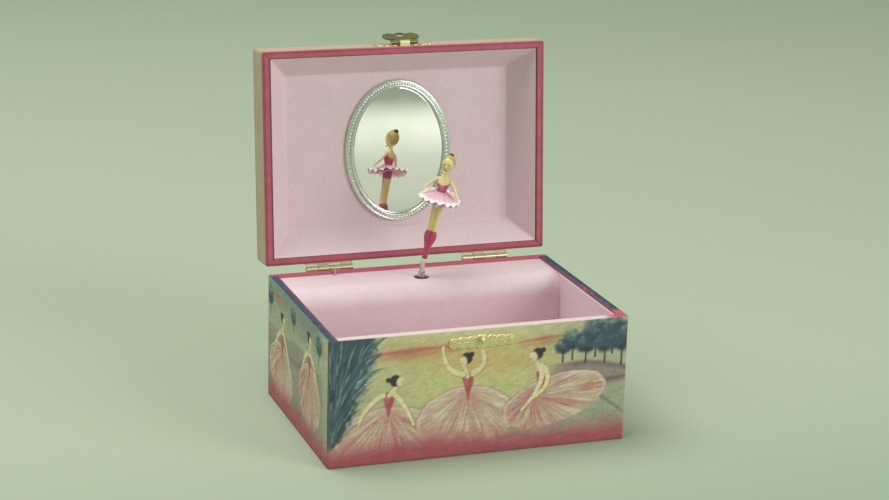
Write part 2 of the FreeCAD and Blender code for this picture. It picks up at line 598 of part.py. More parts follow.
def barrel():
    """Spring barrel with face teeth that drive the pinion on the cylinder's arbor."""
    pitch_y = SPINDLE_Y + MODULE * ARBOR_TEETH / 2
    root_y, tip_y = pitch_y + 0.6 * MODULE * 2, pitch_y - 0.85 * MODULE
    disc_back, drum_back = root_y + 1.5, BED_Y - 1.2
    centre = V(CYLINDER_X, 0, BARREL_Z)

    def at(y):
        return V(centre.x, y, centre.z)

    body = joined([
        rod(CROWN_R + 1.2, at(root_y), at(disc_back)),
        rod(BARREL_R, at(disc_back), at(drum_back)),
    ])
    body = body.cut(rod(BARREL_R - BARREL_WALL, at(disc_back), at(drum_back - 0.8)))
    foot_y = root_y + 0.2
    profile = [V(-0.42, foot_y, 0), V(0.42, foot_y, 0), V(0.17, tip_y, 0), V(-0.17, tip_y, 0)]
    ridge = Part.Face(Part.makePolygon(profile + profile[:1])).extrude(V(0, 0, 2.2))
    ridge = moved(ridge, x=centre.x, z=centre.z + CROWN_R - 1.2)
    step = 360.0 / BARREL_TEETH
    teeth = [turned(ridge, centre, Y, (i + 0.5) * step) for i in range(BARREL_TEETH)]
    body = joined([body] + teeth).cut(rod(WIND_R + RUN, at(root_y - 1), at(BED_Y)))
    save("spring_barrel", body)

    inner_r, outer_r, leaf, steps = WIND_R + 0.6, BARREL_R - BARREL_WALL - 0.3, 0.3, 7 * 24
    inner, outer = [], []
    for k in range(steps + 1):
        r, a = inner_r + (outer_r - inner_r) * k / steps, math.radians(15.0 * k)
        out = X * math.cos(a) + Z * math.sin(a)
        inner.append(at(disc_back + 0.4) + out * r)
        outer.append(at(disc_back + 0.4) + out * (r + leaf))
    edges = [Part.BSplineCurve(), Part.BSplineCurve()]
    edges[0].interpolate(inner)
    edges[1].interpolate(outer[::-1])
    far, near = Part.LineSegment(inner[-1], outer[-1]), Part.LineSegment(outer[0], inner[0])
    wire = Part.Wire([e.toShape() for e in (edges[0], far, edges[1], near)])
    save("mainspring", Part.Face(wire).extrude(V(0, drum_back - disc_back - 1.6, 0)))

    reach = BRIDGE_HALF + 2.6
    strap = block(-reach, reach, BRIDGE_Y - LUG_T, BRIDGE_Y, BARREL_Z - 3.2, BARREL_Z + 3.2)
    strap = moved(strap, x=centre.x)
    strap = strap.cut(rod(WIND_R - 0.6 + RUN, at(BRIDGE_Y - 4), at(BRIDGE_Y + 1)))
    for point in bridge_screws():
        strap = strap.cut(screw_hole(point, Y, PLATE_SCREW_L))
    save("barrel_bridge", strap)
    save("bridge_screws", *[screw(p, Y, PLATE_SCREW_L) for p in bridge_screws()])

    outside = BOX_D / 2 + KEY_GAP
    arbor = joined([
        rod(WIND_R - 0.6, at(BRIDGE_Y - LUG_T - 0.5), at(BRIDGE_Y + 0.4)),
        rod(WIND_R, at(BRIDGE_Y + 0.3), at(outside + 3)),
    ])
    save("winding_arbor", arbor)
    clutch = tube(WIND_R + 0.7, WIND_R + RUN, at(drum_back + 0.15), at(BED_Y - 0.05))
    save("clutch_spring", clutch)

    stem_end = outside + KEY_STEM
    stem = rod(3.2, at(outside), at(stem_end)).cut(rod(WIND_R + FIT, at(outside), at(outside + 3)))
    wing_y, wing_r, wing_t = stem_end + 5.0, 5.2, 1.8
    web = block(-KEY_R * 0.55, KEY_R * 0.55, stem_end - 1.5, stem_end + 7, 0, wing_t)
    wings = [moved(web, x=centre.x, z=BARREL_Z - wing_t / 2)]
    for side in (-1, 1):
        foot = V(centre.x + side * (KEY_R - wing_r), wing_y, BARREL_Z - wing_t / 2)
        wings.append(rod(wing_r, foot, foot + Z * wing_t))
    save("winding_key", joined([stem] + wings))


def tune_cylinder():
    """Brass cylinder with rows of pins, its arbor and the wheel on top."""
    axis = V(CYLINDER_X, SPINDLE_Y, 0)

    def at(z):
        return axis + Z * z

    drum = rod(CYLINDER_R, at(CYLINDER_Z), at(CYLINDER_TOP))
    drum = drum.cut(rod(CYLINDER_R - 0.8, at(CYLINDER_Z + 1.2), at(CYLINDER_TOP - 1.2)))
    pins, count = [], 4 * COMB_TEETH
    for k in range(count):
        track = (k * 7) % COMB_TEETH
        angle = math.radians(k * 137.508)
        out = V(math.cos(angle), math.sin(angle), 0)
        foot = at(CYLINDER_Z + CYLINDER_L * (track + 0.5) / COMB_TEETH) + out * (CYLINDER_R - 0.3)
        pins.append(rod(PIN_R, foot, foot + out * (PIN_UP + 0.3)))
    drum = joined([drum] + pins).cut(rod(ARBOR_R + FIT, at(0), at(BASE_H)))
    save("tune_cylinder", drum)

    pinion = gear(ARBOR_TEETH, PINION_L, tooth_at=90.0)
    pinion = moved(pinion, x=axis.x, y=axis.y, z=PINION_Z - PINION_L / 2)
    arbor = rod(ARBOR_R, at(PINION_Z - PINION_L / 2), at(WHEEL_Z + GEAR_T + 0.6))
    save("cylinder_arbor", joined([arbor, pinion]))
    wheel = gear(CYLINDER_TEETH, GEAR_T, bore=ARBOR_R + FIT)
    for i in range(5):
        a = math.radians(72.0 * i + 36.0)
        spot = V(5.0 * math.cos(a), 5.0 * math.sin(a), -1)
        wheel = wheel.cut(rod(1.7, spot, spot + Z * 4))
    save("cylinder_wheel", moved(wheel, x=axis.x, y=axis.y, z=WHEEL_Z))


def comb():
    """Steel comb whose teeth shorten from the low notes to the high notes."""
    back = COMB_Y + COMB_T
    pitch = CYLINDER_L / COMB_TEETH
    tooth_half, step_half = pitch * 0.38, pitch * 0.5
    shapes = [block(COMB_ROOT_X, COMB_ROOT_X + COMB_BASE, COMB_Y, back, CYLINDER_Z, CYLINDER_TOP)]
    for i in range(COMB_TEETH):
        z = CYLINDER_Z + (i + 0.5) * pitch
        root, end = COMB_ROOT_X - 2.6 * i / (COMB_TEETH - 1.0), COMB_ROOT_X + 0.5
        tooth = block(COMB_TIP_X, end, COMB_Y, COMB_Y + TOOTH_T, z - tooth_half, z + tooth_half)
        shapes += [tooth, block(root, end, COMB_Y, back, z - step_half, z + step_half)]
    plate = joined(shapes)
    for point in comb_screws():
        plate = plate.cut(screw_hole(point, Y, PLATE_SCREW_L))
    save("comb", plate)
    save("comb_screws", *[screw(p, Y, PLATE_SCREW_L) for p in comb_screws()])


def governor():
    """Train that holds the speed down: a wheel, and a worm with a two-bladed fly."""
    x, y = GOVERNOR_X, SPINDLE_Y
    arm_low, arm_high = WORM_Z - 3.9, WHEEL_Z + GEAR_T + 0.5
    side_x = WORM_X - FLY_R - 1.0
    plate_y = BED_Y - 1.6
    front_y = y - 6.2
    frame = joined([
        block(side_x - 1.2, x + 2.4, plate_y, BED_Y, arm_low - 6, arm_high + 1.2),
        block(x - 2.2, x + 2.4, y - 2.2, BED_Y, arm_low, arm_low + 1.2),
        block(x - 2.2, x + 2.4, y - 2.2, BED_Y, arm_high, arm_high + 1.2),
        block(side_x - 1.2, side_x, front_y - 1.4, BED_Y, WORM_Z - 2.2, WORM_Z + 2.2),
        block(side_x - 1.2, WORM_X + 1.8, front_y - 1.4, front_y, WORM_Z - 2.2, WORM_Z + 2.2),
    ])
    frame = frame.cut(rod(PIVOT_R + RUN, V(x, y, arm_low - 1), V(x, y, arm_high + 2)))
    frame = frame.cut(rod(PIVOT_R + RUN, V(WORM_X, front_y - 2, WORM_Z), V(WORM_X, plate_y + 1, WORM_Z)))
    mount = V(side_x + 4.0, plate_y, arm_low - 3.6)
    frame = frame.cut(screw_hole(mount, Y, 3.0))
    save("governor_frame", frame)
    save("governor_screw", screw(mount, Y, 1.5))

    wheel_t = 1.0
    lead_angle = math.atan(WORM_STARTS * MODULE / (2 * WORM_R))
    twist = math.degrees(math.tan(lead_angle) * wheel_t / (MODULE * WORM_WHEEL_TEETH))
    wheel = gear(WORM_WHEEL_TEETH, wheel_t, tooth_at=180.0, twist=twist)
    pinion_l = WHEEL_Z + GEAR_T - WORM_Z - wheel_t / 2
    pinion = gear(GOVERNOR_TEETH, pinion_l, tooth_at=180.0 / GOVERNOR_TEETH)
    save("governor_wheel", joined([
        moved(wheel, x, y, WORM_Z - wheel_t / 2),
        moved(pinion, x, y, WORM_Z + wheel_t / 2),
        rod(PIVOT_R, V(x, y, arm_low + 0.1), V(x, y, arm_high + 1.1)),
    ]))
    save("governor_worm", moved(worm(front_y, plate_y), WORM_X, SPINDLE_Y, WORM_Z))


def worm(front_y, plate_y):
    """Two-start worm and its fly on one arbor along Y, drawn about the origin."""
    pitch = math.pi * MODULE
    lead = WORM_STARTS * pitch
    root_r, tip_r = WORM_R - 1.0 * MODULE, WORM_R + 0.7 * MODULE
    half = lead
    root_half, tip_half = 34.0, 15.0
    outline = []
    for start in range(WORM_STARTS):
        middle = 360.0 * start / WORM_STARTS - 90.0
        outline += [(root_r, middle - root_half), (tip_r, middle - tip_half)]
        outline += [(tip_r, middle + tip_half), (root_r, middle + root_half)]
        outline += [(root_r, middle + 62.0), (root_r, middle + 90.0), (root_r, middle + 118.0)]
    sections = []
    steps = 36
    for i in range(steps + 1):
        z = -half + 2 * half * i / steps
        ring = [V(r * math.cos(math.radians(a)), r * math.sin(math.radians(a)), z) for r, a in outline]
        section = Part.makePolygon(ring + ring[:1])
        sections.append(turned(section, V(0, 0, 0), Z, 360.0 * z / lead))
    low, high = front_y - SPINDLE_Y - 1.2, plate_y - SPINDLE_Y + 0.8
    fly0, fly1 = FLY_Y - SPINDLE_Y, plate_y - SPINDLE_Y - 0.6
    shapes = [
        Part.makeLoft(sections, True, True),
        rod(PIVOT_R, V(0, 0, low), V(0, 0, high)),
        rod(1.3, V(0, 0, fly0), V(0, 0, fly1)),
        block(-FLY_R, FLY_R, -0.2, 0.2, fly0, fly1),
    ]
    return turned(joined(shapes), V(0, 0, 0), X, -90)


def spindle():
    """Upright spindle with its pinion, and the ferrule that holds the dancer's spring."""
    axis = V(0, SPINDLE_Y, 0)
    pinion = gear(SPINDLE_TEETH, GEAR_T + 0.4, tooth_at=180.0 + 180.0 / SPINDLE_TEETH)
    ferrule_top = BASE_H + FOLD_UP - 1.4
    shape = joined([
        rod(ARBOR_R, axis + Z * (LUG_Z - 0.4), axis + Z * (WHEEL_Z + 1)),
        moved(pinion, y=SPINDLE_Y, z=WHEEL_Z - 0.2),
        rod(FERRULE_R, axis + Z * (WHEEL_Z + GEAR_T), axis + Z * ferrule_top),
    ])
    save("dancer_spindle", shape)


def stop_wire():
    """Wire pressed down by the lid lining, whose foot comes down on the fly."""
    top = BASE_H + STOP_UP
    foot_z = WORM_Z + FLY_R + STOP_GAP + STOP_TRAVEL + STOP_R
    guide_z, guide_h = BAY_TOP - 9.0, 3.0
    tip, end = V(STOP_X, STOP_Y, top), V(STOP_X, STOP_Y, guide_z - 2.0)
    bend = V(STOP_X, FLY_Y + 2.0, foot_z)
    wire = joined([
        rod(STOP_R, end, tip),
        Part.makeSphere(STOP_R, tip),
        rod(STOP_R, V(STOP_X, STOP_Y, foot_z), bend),
        Part.makeSphere(STOP_R, bend),
        rod(STOP_R, bend, V(WORM_X + 0.5, bend.y, foot_z)),
    ])
    save("stop_wire", wire)
    guide = block(STOP_X - 2.6, STOP_X + 1.8, STOP_Y - 1.8, BOARD_Y, guide_z, guide_z + guide_h)
    save("stop_guide", guide.cut(rod(STOP_R + RUN, end, tip)))


# Dancer

def on_dancer(shape):
    """Carries a piece drawn upright about the origin, feet at z = 0, to where she stands."""
    lean_axis = V(math.sin(math.radians(-LEAN_TO)), math.cos(math.radians(LEAN_TO)), 0)
    shape = turned(shape, V(0, 0, 0), Z, FACING + 90.0)
    lifted = moved(shape, z=FEET_UP - FOLD_UP)
    return moved(turned(lifted, V(0, 0, 0), lean_axis, LEAN), y=SPINDLE_Y, z=BASE_H + FOLD_UP)


def limb(points):
    """A smooth limb through level circles, given as (x, y, z, radius)."""
    rings = [Part.Wire([Part.makeCircle(r, V(x, y, z))]) for x, y, z, r in points]
    return Part.makeLoft(rings, True)


def dancer():
    """Moulded figure on points, facing -Y before she is turned, with arms over her skirt."""
    waist, shoulder = 35.5, 44.0
    pieces = [revolved([(0, 0), (SPRING_R - 0.1, 0), (SPRING_R - 0.1, 2.0), (0, 2.0)])]
    for side in (-1, 1):
        pieces.append(limb([
            (side * 0.6, 0, 1.0, 1.0), (side * 0.7, 0, 5.0, 1.15), (side * 1.4, 0.4, 12.5, 1.95),
            (side * 1.2, 0, 17.5, 1.5), (side * 1.3, 0, 28.0, 1.8), (side * 1.2, 0, 33.0, 2.1),
        ]))
        pieces.append(limb([
            (side * 8.9, -2.2, 35.4, 0.7), (side * 6.6, -1.4, 39.0, 0.9), (side * 3.6, -0.2, 43.4, 1.1),
            (side * 2.4, 0, 44.2, 1.1),
        ]))
    pieces.append(revolved([
        (0, 31.0), (2.9, 31.0), (3.2, 33.0), (2.5, waist), (3.2, 39.5), (3.7, 42.0), (3.4, shoulder),
        (1.3, 45.6), (1.2, 47.8), (0, 47.8),
    ]))
    pieces.append(moved(ellipsoid(3.5, 3.7, 4.7), y=-0.6, z=51.4))
    pieces.append(Part.makeSphere(1.7, V(0, 1.6, 55.9)))
    save("dancer_figure", on_dancer(joined(pieces)))
    clear = 0.3
    edge, hub = TUTU_R, 3.3 + clear
    low, droop = TUTU_AT - TUTU_T / 2, 0.6
    section = [(hub, low), (edge, low - droop), (edge, TUTU_AT + 0.2), (hub, TUTU_AT + 0.8)]
    save("dancer_tutu", on_dancer(revolved(section)))

    foot = V(0, SPINDLE_Y, BASE_H + FOLD_UP - 1.2)
    length = FEET_UP - FOLD_UP + 1.2 - 0.5
    save("dancer_spring", tube(SPRING_R + 0.1, SPRING_R - SPRING_WIRE, foot, foot + Z * length))


def ellipsoid(rx, ry, rz):
    ball = Part.makeSphere(1.0)
    matrix = FreeCAD.Matrix()
    matrix.scale(rx, ry, rz)
    return ball.transformGeometry(matrix)


def main():
    os.makedirs("parts", exist_ok=True)
    base_boards()
    base_wrap()
    compartment_liner()
    movement_platform()
    lid_boards()
    lid_wrap()
    lid_liner()
    mirror()
    for side, name in ((-1, "left"), (1, "right")):
        hinge(side, name)
    save("hinge_base_brads", *[brad(p, -Y) for p in HINGE_BASE_BRADS])
    save("hinge_lid_brads", *[open_lid(brad(p, -Y)) for p in HINGE_LID_BRADS])
    catch()
    clasp()
    movement_bedplate()
    barrel()
    tune_cylinder()
    comb()
    governor()
    spindle()
    stop_wire()
    dancer()


main()
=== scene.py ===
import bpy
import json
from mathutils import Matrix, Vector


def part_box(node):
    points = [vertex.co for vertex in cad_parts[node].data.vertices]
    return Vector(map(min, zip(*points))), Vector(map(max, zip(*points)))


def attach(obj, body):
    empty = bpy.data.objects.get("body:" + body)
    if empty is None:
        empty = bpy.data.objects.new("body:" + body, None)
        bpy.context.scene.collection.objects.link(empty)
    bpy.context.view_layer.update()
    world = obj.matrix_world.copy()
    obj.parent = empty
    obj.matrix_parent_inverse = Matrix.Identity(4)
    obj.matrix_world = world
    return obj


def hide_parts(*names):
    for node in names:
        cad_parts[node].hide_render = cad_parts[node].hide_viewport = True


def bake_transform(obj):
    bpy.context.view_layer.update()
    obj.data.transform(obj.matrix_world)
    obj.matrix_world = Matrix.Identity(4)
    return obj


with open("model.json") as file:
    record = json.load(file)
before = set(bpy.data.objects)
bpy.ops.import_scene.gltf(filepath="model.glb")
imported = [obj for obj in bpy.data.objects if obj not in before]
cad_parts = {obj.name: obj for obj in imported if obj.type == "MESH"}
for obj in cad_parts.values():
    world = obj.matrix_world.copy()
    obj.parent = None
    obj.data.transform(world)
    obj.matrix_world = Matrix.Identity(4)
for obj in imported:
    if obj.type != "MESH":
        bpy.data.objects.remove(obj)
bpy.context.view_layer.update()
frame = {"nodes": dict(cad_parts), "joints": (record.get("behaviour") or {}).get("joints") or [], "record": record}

import json
import math

import bpy
import numpy as np
from bpy.props import FloatProperty, FloatVectorProperty, IntProperty, PointerProperty
from mathutils import Matrix, Vector

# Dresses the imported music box: printed papers, padded linings, mirror, metalwork,
# the dancer with her net skirt and spring, and the stage they stand on.
# Shapes are worked out in millimetres and put into meshes in metres.

bl_info = {
    "name": "Wind-up music box",
    "version": (1, 0, 0),
    "blender": (4, 5, 0),
    "location": "View3D > Sidebar > Music Box",
    "description": "Papers, linings, mirror, metalwork and dancer of a wind-up music box",
    "category": "Object",
}

MM = 0.001


def millimetres(node):
    """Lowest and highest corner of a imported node, in millimetres."""
    low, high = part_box(node)
    return np.array(low) / MM, np.array(high) / MM


def joint_named(name):
    """A packed joint."""
    return next(j for j in frame["joints"] if j["name"] == name)


LID_JOINT = joint_named("lid_hinge")
HINGE = np.array(LID_JOINT["pos_m"]) / MM
OPENING = math.radians(LID_JOINT["range_deg"][0])
WRAP_HIGH = millimetres("base_paper_wrap")[1]
HALF_W, HALF_D = WRAP_HIGH[0], WRAP_HIGH[1]
BASE_H = WRAP_HIGH[2]

# Widths of the rim, the closed lid's mouth and top, and the back of its lining
RIM_SIDE, RIM_FRONT = 4.5, 4.0
OPEN_X, OPEN_Y = HALF_W - RIM_SIDE, HALF_D - RIM_FRONT
LID_Z, LID_TOP = BASE_H + 0.3, BASE_H + 18.8
LINING_Z = LID_TOP - 3.0

# How far the mirror's middle lies toward the hinges, and half its frame's longer side
MIRROR_Y, MIRROR_HALF_Y = 1.0, 37.5

# The dancer turns about a leaning axis, with her feet this far along it
SPIN = joint_named("dancer_spin")
PIVOT = np.array(SPIN["pos_m"]) / MM
LEAN = np.array(SPIN["axis"])
FEET = 5.0

# The camera: where it stands in metres, and its yaw, pitch down and roll in degrees
CAMERA_AT = (-0.35098, -0.98401, 0.39076)
CAMERA_TURN = (19.604, 16.206, 1.492)


# Sizes and colours that a user may change


def tint(name, text, red, green, blue):
    """A colour setting, given as it looks on a screen."""
    shown = [red / 255, green / 255, blue / 255]
    return FloatVectorProperty(
        name=name, description=text, subtype="COLOR_GAMMA", size=3, min=0.0, max=1.0, default=shown
    )


class BoxSizes(bpy.types.PropertyGroup):
    edge_radius: FloatProperty(
        name="Edge radius",
        description="Rounding of the papered edges, in millimetres",
        default=0.7,
        min=0.2,
        max=1.5,
    )
    lining_fold: FloatProperty(
        name="Lining fold",
        description="Softness of the folds in the lining, in millimetres",
        default=0.9,
        min=0.4,
        max=4.0,
    )
    frame_beads: IntProperty(
        name="Frame beads", description="Beads round the mirror frame", default=116, min=40, max=200
    )
    pleats: IntProperty(
        name="Pleats", description="Pleats round the net skirt", default=17, min=8, max=40
    )
    spring_turns: IntProperty(
        name="Spring turns", description="Turns of wire under the dancer", default=12, min=4, max=16
    )
    facing: FloatProperty(
        name="Facing",
        description="Way the dancer faces, counted from the right-hand side",
        subtype="ANGLE",
        default=math.radians(-125.0),
    )
    lens: FloatProperty(
        name="Lens", description="Focal length of the camera, in millimetres", default=89.0, min=20, max=300
    )


class BoxColours(bpy.types.PropertyGroup):
    band: tint("Band", "Band at the foot of the printed picture", 176, 82, 92)
    rim: tint("Rim", "Rim of the lid and the back of the base", 190, 96, 116)
    lining: tint("Lining", "Paper inside the box and the lid", 233, 209, 216)
    gilt: tint("Gilt", "Clasp, catch and key", 236, 224, 172)
    hinge: tint("Hinge", "Plated hinges", 218, 208, 178)
    skin: tint("Skin", "Moulded figure", 232, 216, 150)
    dress: tint("Dress", "Bodice and stockings", 190, 82, 112)
    net: tint("Net", "Net skirt", 238, 196, 208)
    hair: tint("Hair", "Painted hair", 206, 180, 108)
    floor: tint("Floor", "Seamless floor", 177, 188, 166)


def sizes():
    """The size settings of this scene."""
    return bpy.context.scene.box_sizes


def colours():
    """The colour settings of this scene."""
    return bpy.context.scene.box_colours


def linear(shown):
    """Screen values from 0 to 1 as amounts of light."""
    shown = np.asarray(shown, float)
    return np.where(shown <= 0.04045, shown / 12.92, ((shown + 0.055) / 1.055) ** 2.4)


def rgba(shown):
    """A screen colour as a shader takes it."""
    return (*[float(v) for v in linear(shown)], 1.0)


# Meshes


def patch(points, wrap=(False, False), flip=False, paint=None, uv=None):
    """A grid of points with what goes with it.

    wrap says which ways the grid closes, flip turns its faces over, and paint and uv
    are its colours and its map.
    """
    return {"points": points, "wrap": wrap, "flip": flip, "paint": paint, "uv": uv}


def grid_faces(rows, cols, first, wrap):
    """Corner numbers of a grid's faces. Rows then columns give the normal by the right-hand rule."""
    i = np.arange(rows if wrap[0] else rows - 1)[:, None]
    j = np.arange(cols if wrap[1] else cols - 1)[None, :]
    k, m = (i + 1) % rows, (j + 1) % cols
    corners = [i * cols + j, k * cols + j, k * cols + m, i * cols + m]
    return first + np.stack(corners, -1).reshape(-1, 4)


def build(name, patches, smooth=True):
    """One mesh of several grids, in metres."""
    faces, first = [], 0
    for p in patches:
        rows, cols = p["points"].shape[:2]
        found = grid_faces(rows, cols, first, p["wrap"])
        faces.append(found[:, ::-1] if p["flip"] else found)
        first += rows * cols
    points = np.concatenate([p["points"].reshape(-1, 3) for p in patches]) * MM
    mesh = bpy.data.meshes.new(name)
    mesh.from_pydata(points.tolist(), [], np.concatenate(faces).tolist())
    if smooth:
        mesh.shade_smooth()
    if patches[0]["paint"] is not None:
        set_paint(mesh, np.concatenate([p["paint"].reshape(-1, 3) for p in patches]))
    if patches[0]["uv"] is not None:
        flat = np.concatenate([p["uv"].reshape(-1, 2) for p in patches])
        corner = np.empty(len(mesh.loops), np.int32)
        mesh.loops.foreach_get("vertex_index", corner)
        layer = mesh.uv_layers.new(name="cloth")
        layer.data.foreach_set("uv", flat[corner].astype(np.float32).ravel())
    return mesh


def set_paint(mesh, shown):
    """Keeps one screen colour per point, as light, in the attribute named paint."""
    layer = mesh.color_attributes.new(name="paint", type="FLOAT_COLOR", domain="POINT")
    full = np.ones((len(shown), 4), np.float32)
    full[:, :3] = linear(np.clip(shown, 0, 1))
    layer.data.foreach_set("color", full.ravel())


def place(name, mesh, material, body, stands_for=()):
    """Puts a mesh in the scene on its body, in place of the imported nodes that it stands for."""
    piece = bpy.data.objects.new(name, mesh)
    bpy.context.scene.collection.objects.link(piece)
    mesh.materials.append(material)
    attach(piece, body)
    if stands_for:
        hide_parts(*stands_for)
    return piece


def opened(points):
    """Points of the closed lid, turned about the hinge line to the open lid."""
    y, z = points[..., 1] - HINGE[1], points[..., 2] - HINGE[2]
    c, s = math.cos(OPENING), math.sin(OPENING)
    return np.stack([points[..., 0], HINGE[1] + y * c - z * s, HINGE[2] + y * s + z * c], -1)


def smooth(low, high, t):
    """A soft step from 0 at low to 1 at high."""
    t = np.clip((t - low) / (high - low), 0, 1)
    return t * t * (3 - 2 * t)


def cloud(s, z, size, seed):
    """Soft noise from 0 to 1: random numbers on a square lattice of that size, blended between its corners."""
    rows, cols = 97, 89
    table = np.random.default_rng(seed).random((rows, cols))
    a, b = s / size, z / size
    i, j = np.floor(a).astype(int), np.floor(b).astype(int)
    f, g = a - i, b - j
    f, g = f * f * (3 - 2 * f), g * g * (3 - 2 * g)
    i, j, k, m = i % rows, j % cols, (i + 1) % rows, (j + 1) % cols
    low = table[i, j] * (1 - f) + table[k, j] * f
    high = table[i, m] * (1 - f) + table[k, m] * f
    return low * (1 - g) + high * g


# The printed picture, as paint laid over places along the walls


class Picture:
    """Paint on points, each known by its place along the walls and its height in millimetres."""

    def __init__(self, s, z):
        self.shape, self.s, self.z = s.shape, s.ravel(), z.ravel()
        self.paint = np.zeros((self.s.size, 3))

    def wash(self, colour, cover):
        """Blends a colour over every point, as far as cover says."""
        self.paint += (np.array(colour) / 255 - self.paint) * cover[:, None]

    def near(self, low, high):
        """The points inside a rectangle."""
        inside = (self.s > low[0]) & (self.s < high[0]) & (self.z > low[1]) & (self.z < high[1])
        return np.flatnonzero(inside)

    def blend(self, at, colour, cover):
        """Blends a colour over some of the points."""
        self.paint[at] += (np.array(colour) / 255 - self.paint[at]) * cover[:, None]

    def blob(self, middle, radii, colour, tilt=0.0, soft=0.15, strength=1.0, wobble=0.0):
        """An oval of paint: covered where the turned, scaled distance from its middle is under 1."""
        reach = max(radii) * (1 + soft + abs(wobble))
        at = self.near(np.subtract(middle, reach), np.add(middle, reach))
        if not at.size:
            return
        c, n = math.cos(math.radians(tilt)), math.sin(math.radians(tilt))
        ds, dz = self.s[at] - middle[0], self.z[at] - middle[1]
        u, v = (ds * c + dz * n) / radii[0], (dz * c - ds * n) / radii[1]
        r = np.hypot(u, v)
        if wobble:
            r = r / (1 + wobble * np.cos(7 * np.arctan2(v, u) + middle[0]))
        self.blend(at, colour, strength * (1 - smooth(1 - soft, 1 + soft, r)))

    def stroke(self, line, widths, colour, soft=0.25, strength=1.0):
        """A tapering brush stroke along a curve through the points.

        A point is covered where its distance to the curve is under the half width there.
        """
        pieces = 12
        line = np.array(line, float)
        knots = np.linspace(0, 1, len(line))
        t = np.linspace(0, 1, pieces + 1)
        fits = [np.polynomial.Polynomial.fit(knots, line[:, k], len(line) - 1) for k in (0, 1)]
        path = np.stack([fit(t) for fit in fits], -1)
        reach = max(widths) + soft
        at = self.near(path.min(0) - reach, path.max(0) + reach)
        if not at.size:
            return
        s, z = self.s[at], self.z[at]
        cover = np.zeros(at.size)
        for k, (a, b) in enumerate(zip(path[:-1], path[1:])):
            along = b - a
            h = ((s - a[0]) * along[0] + (z - a[1]) * along[1]) / max(along @ along, 1e-9)
            h = np.clip(h, 0, 1)
            away = np.hypot(s - a[0] - h * along[0], z - a[1] - h * along[1])
            half = np.interp((k + h) / pieces, np.linspace(0, 1, len(widths)), widths)
            cover = np.maximum(cover, 1 - smooth(-soft, soft, away - half))
        self.blend(at, colour, cover * strength)

    def done(self):
        """The paint, in the shape of the points."""
        return self.paint.reshape(*self.shape, 3)


YELLOW, PEACH, SAGE = (208, 202, 140), (212, 168, 122), (176, 180, 152)
MIST, STREAK, GRASS = (188, 200, 172), (186, 92, 84), (168, 180, 146)
TEAL, DEEP, PALE_TEAL, INK = (88, 118, 122), (60, 78, 92), (138, 170, 162), (50, 54, 60)
MAUVE, PLUM = (158, 140, 126), (104, 80, 100)
SKIN, SKIN_SHADE, HAIR = (232, 224, 176), (184, 142, 104), (50, 50, 48)
BODICE, ROSE, PETAL, FOAM = (182, 84, 92), (196, 132, 124), (206, 172, 154), (230, 222, 198)


def sky(picture):
    """Evening light at the middle of the front, mist over the sides and the back."""
    s, z = picture.s, picture.z
    warm = np.exp(-(((s + 6) / 52) ** 2))
    picture.wash(SAGE, np.ones(s.size))
    picture.wash(MIST, 0.6 * smooth(24, 66, z) * (cloud(s, z, 21, 3) * 0.6 + 0.6))
    picture.wash(TEAL, 0.55 * smooth(50, 64, z + 6 * cloud(s, z, 12, 7)) * (1 - smooth(-96, -78, s)))
    picture.wash(YELLOW, np.clip(warm * 1.25, 0, 1) * smooth(12, 36, z))
    glow = np.exp(-(((z - 54.5) / 4.5) ** 2)) * np.exp(-(((s + 26) / 36) ** 2))
    picture.wash(PEACH, 0.9 * glow)
    low_glow = np.exp(-(((z - 46) / 5.0) ** 2)) * np.exp(-(((s - 6) / 26) ** 2))
    picture.wash((214, 164, 96), 0.55 * low_glow)
    picture.wash((222, 214, 190), 0.5 * smooth(58, 64, z) * warm)
    strokes = cloud(s, z * 5, 10, 12)
    picture.wash((226, 206, 150), 0.3 * smooth(0.55, 0.85, strokes) * warm * smooth(30, 44, z))
    picture.wash(GRASS, 0.7 * (1 - smooth(16, 34, z + 5 * cloud(s, z, 9, 5))))
    picture.wash(ROSE, 0.35 * (1 - smooth(10, 26, z + 6 * cloud(s, z, 11, 6))))
    picture.wash(MAUVE, 0.25 * cloud(s, z * 2.5, 13, 8) * (1 - warm))
    for start, end, height, width in (
        (-58, -12, 55.2, 1.1),
        (18, 45, 55.6, 0.9),
        (60, 96, 60.0, 0.7),
        (196, 250, 57.0, 0.8),
        (262, 318, 60.5, 0.7),
        (-176, -150, 58.0, 0.6),
    ):
        middle = (start + end) / 2
        line = [(start, height - 0.6), (middle, height + 0.7), (end, height + 1.4)]
        lower = [(a, b - 2.0) for a, b in line]
        picture.stroke(lower, (0.1, width * 2.0, 0.3), (198, 138, 96), soft=1.6, strength=0.7)
        picture.stroke(line, (0.1, width, 0.1), STREAK, soft=0.9, strength=0.75)


def hills(picture):
    """Far fields: each ridge is a slow wave, and the ground below it is filled."""
    s, z = picture.s, picture.z
    away = smooth(30, 50, s) + (1 - smooth(-96, -80, s)) * 0.35
    ridge = 42 + 2.4 * np.sin(s / 23 + 0.6) + 1.0 * np.sin(s / 7.3)
    picture.wash(PLUM, 0.7 * away * (1 - smooth(ridge - 1.2, ridge + 0.6, z)))
    picture.wash(MAUVE, 0.9 * away * (1 - smooth(ridge - 4.5, ridge - 1.4, z)))
    nearer = 33 + 2.2 * np.sin(s / 17 + 2.0)
    picture.wash(PLUM, 0.75 * away * np.exp(-(((z - nearer) / 1.0) ** 2)))
    picture.wash(GRASS, 0.75 * away * (1 - smooth(nearer - 3.5, nearer - 0.8, z)))
    for start in (52, 112, 205, 300):
        path = [(start, 31), (start + 11, 24), (start + 26, 12)]
        picture.stroke(path, (0.3, 0.7, 0.4), PLUM, soft=0.8, strength=0.5)


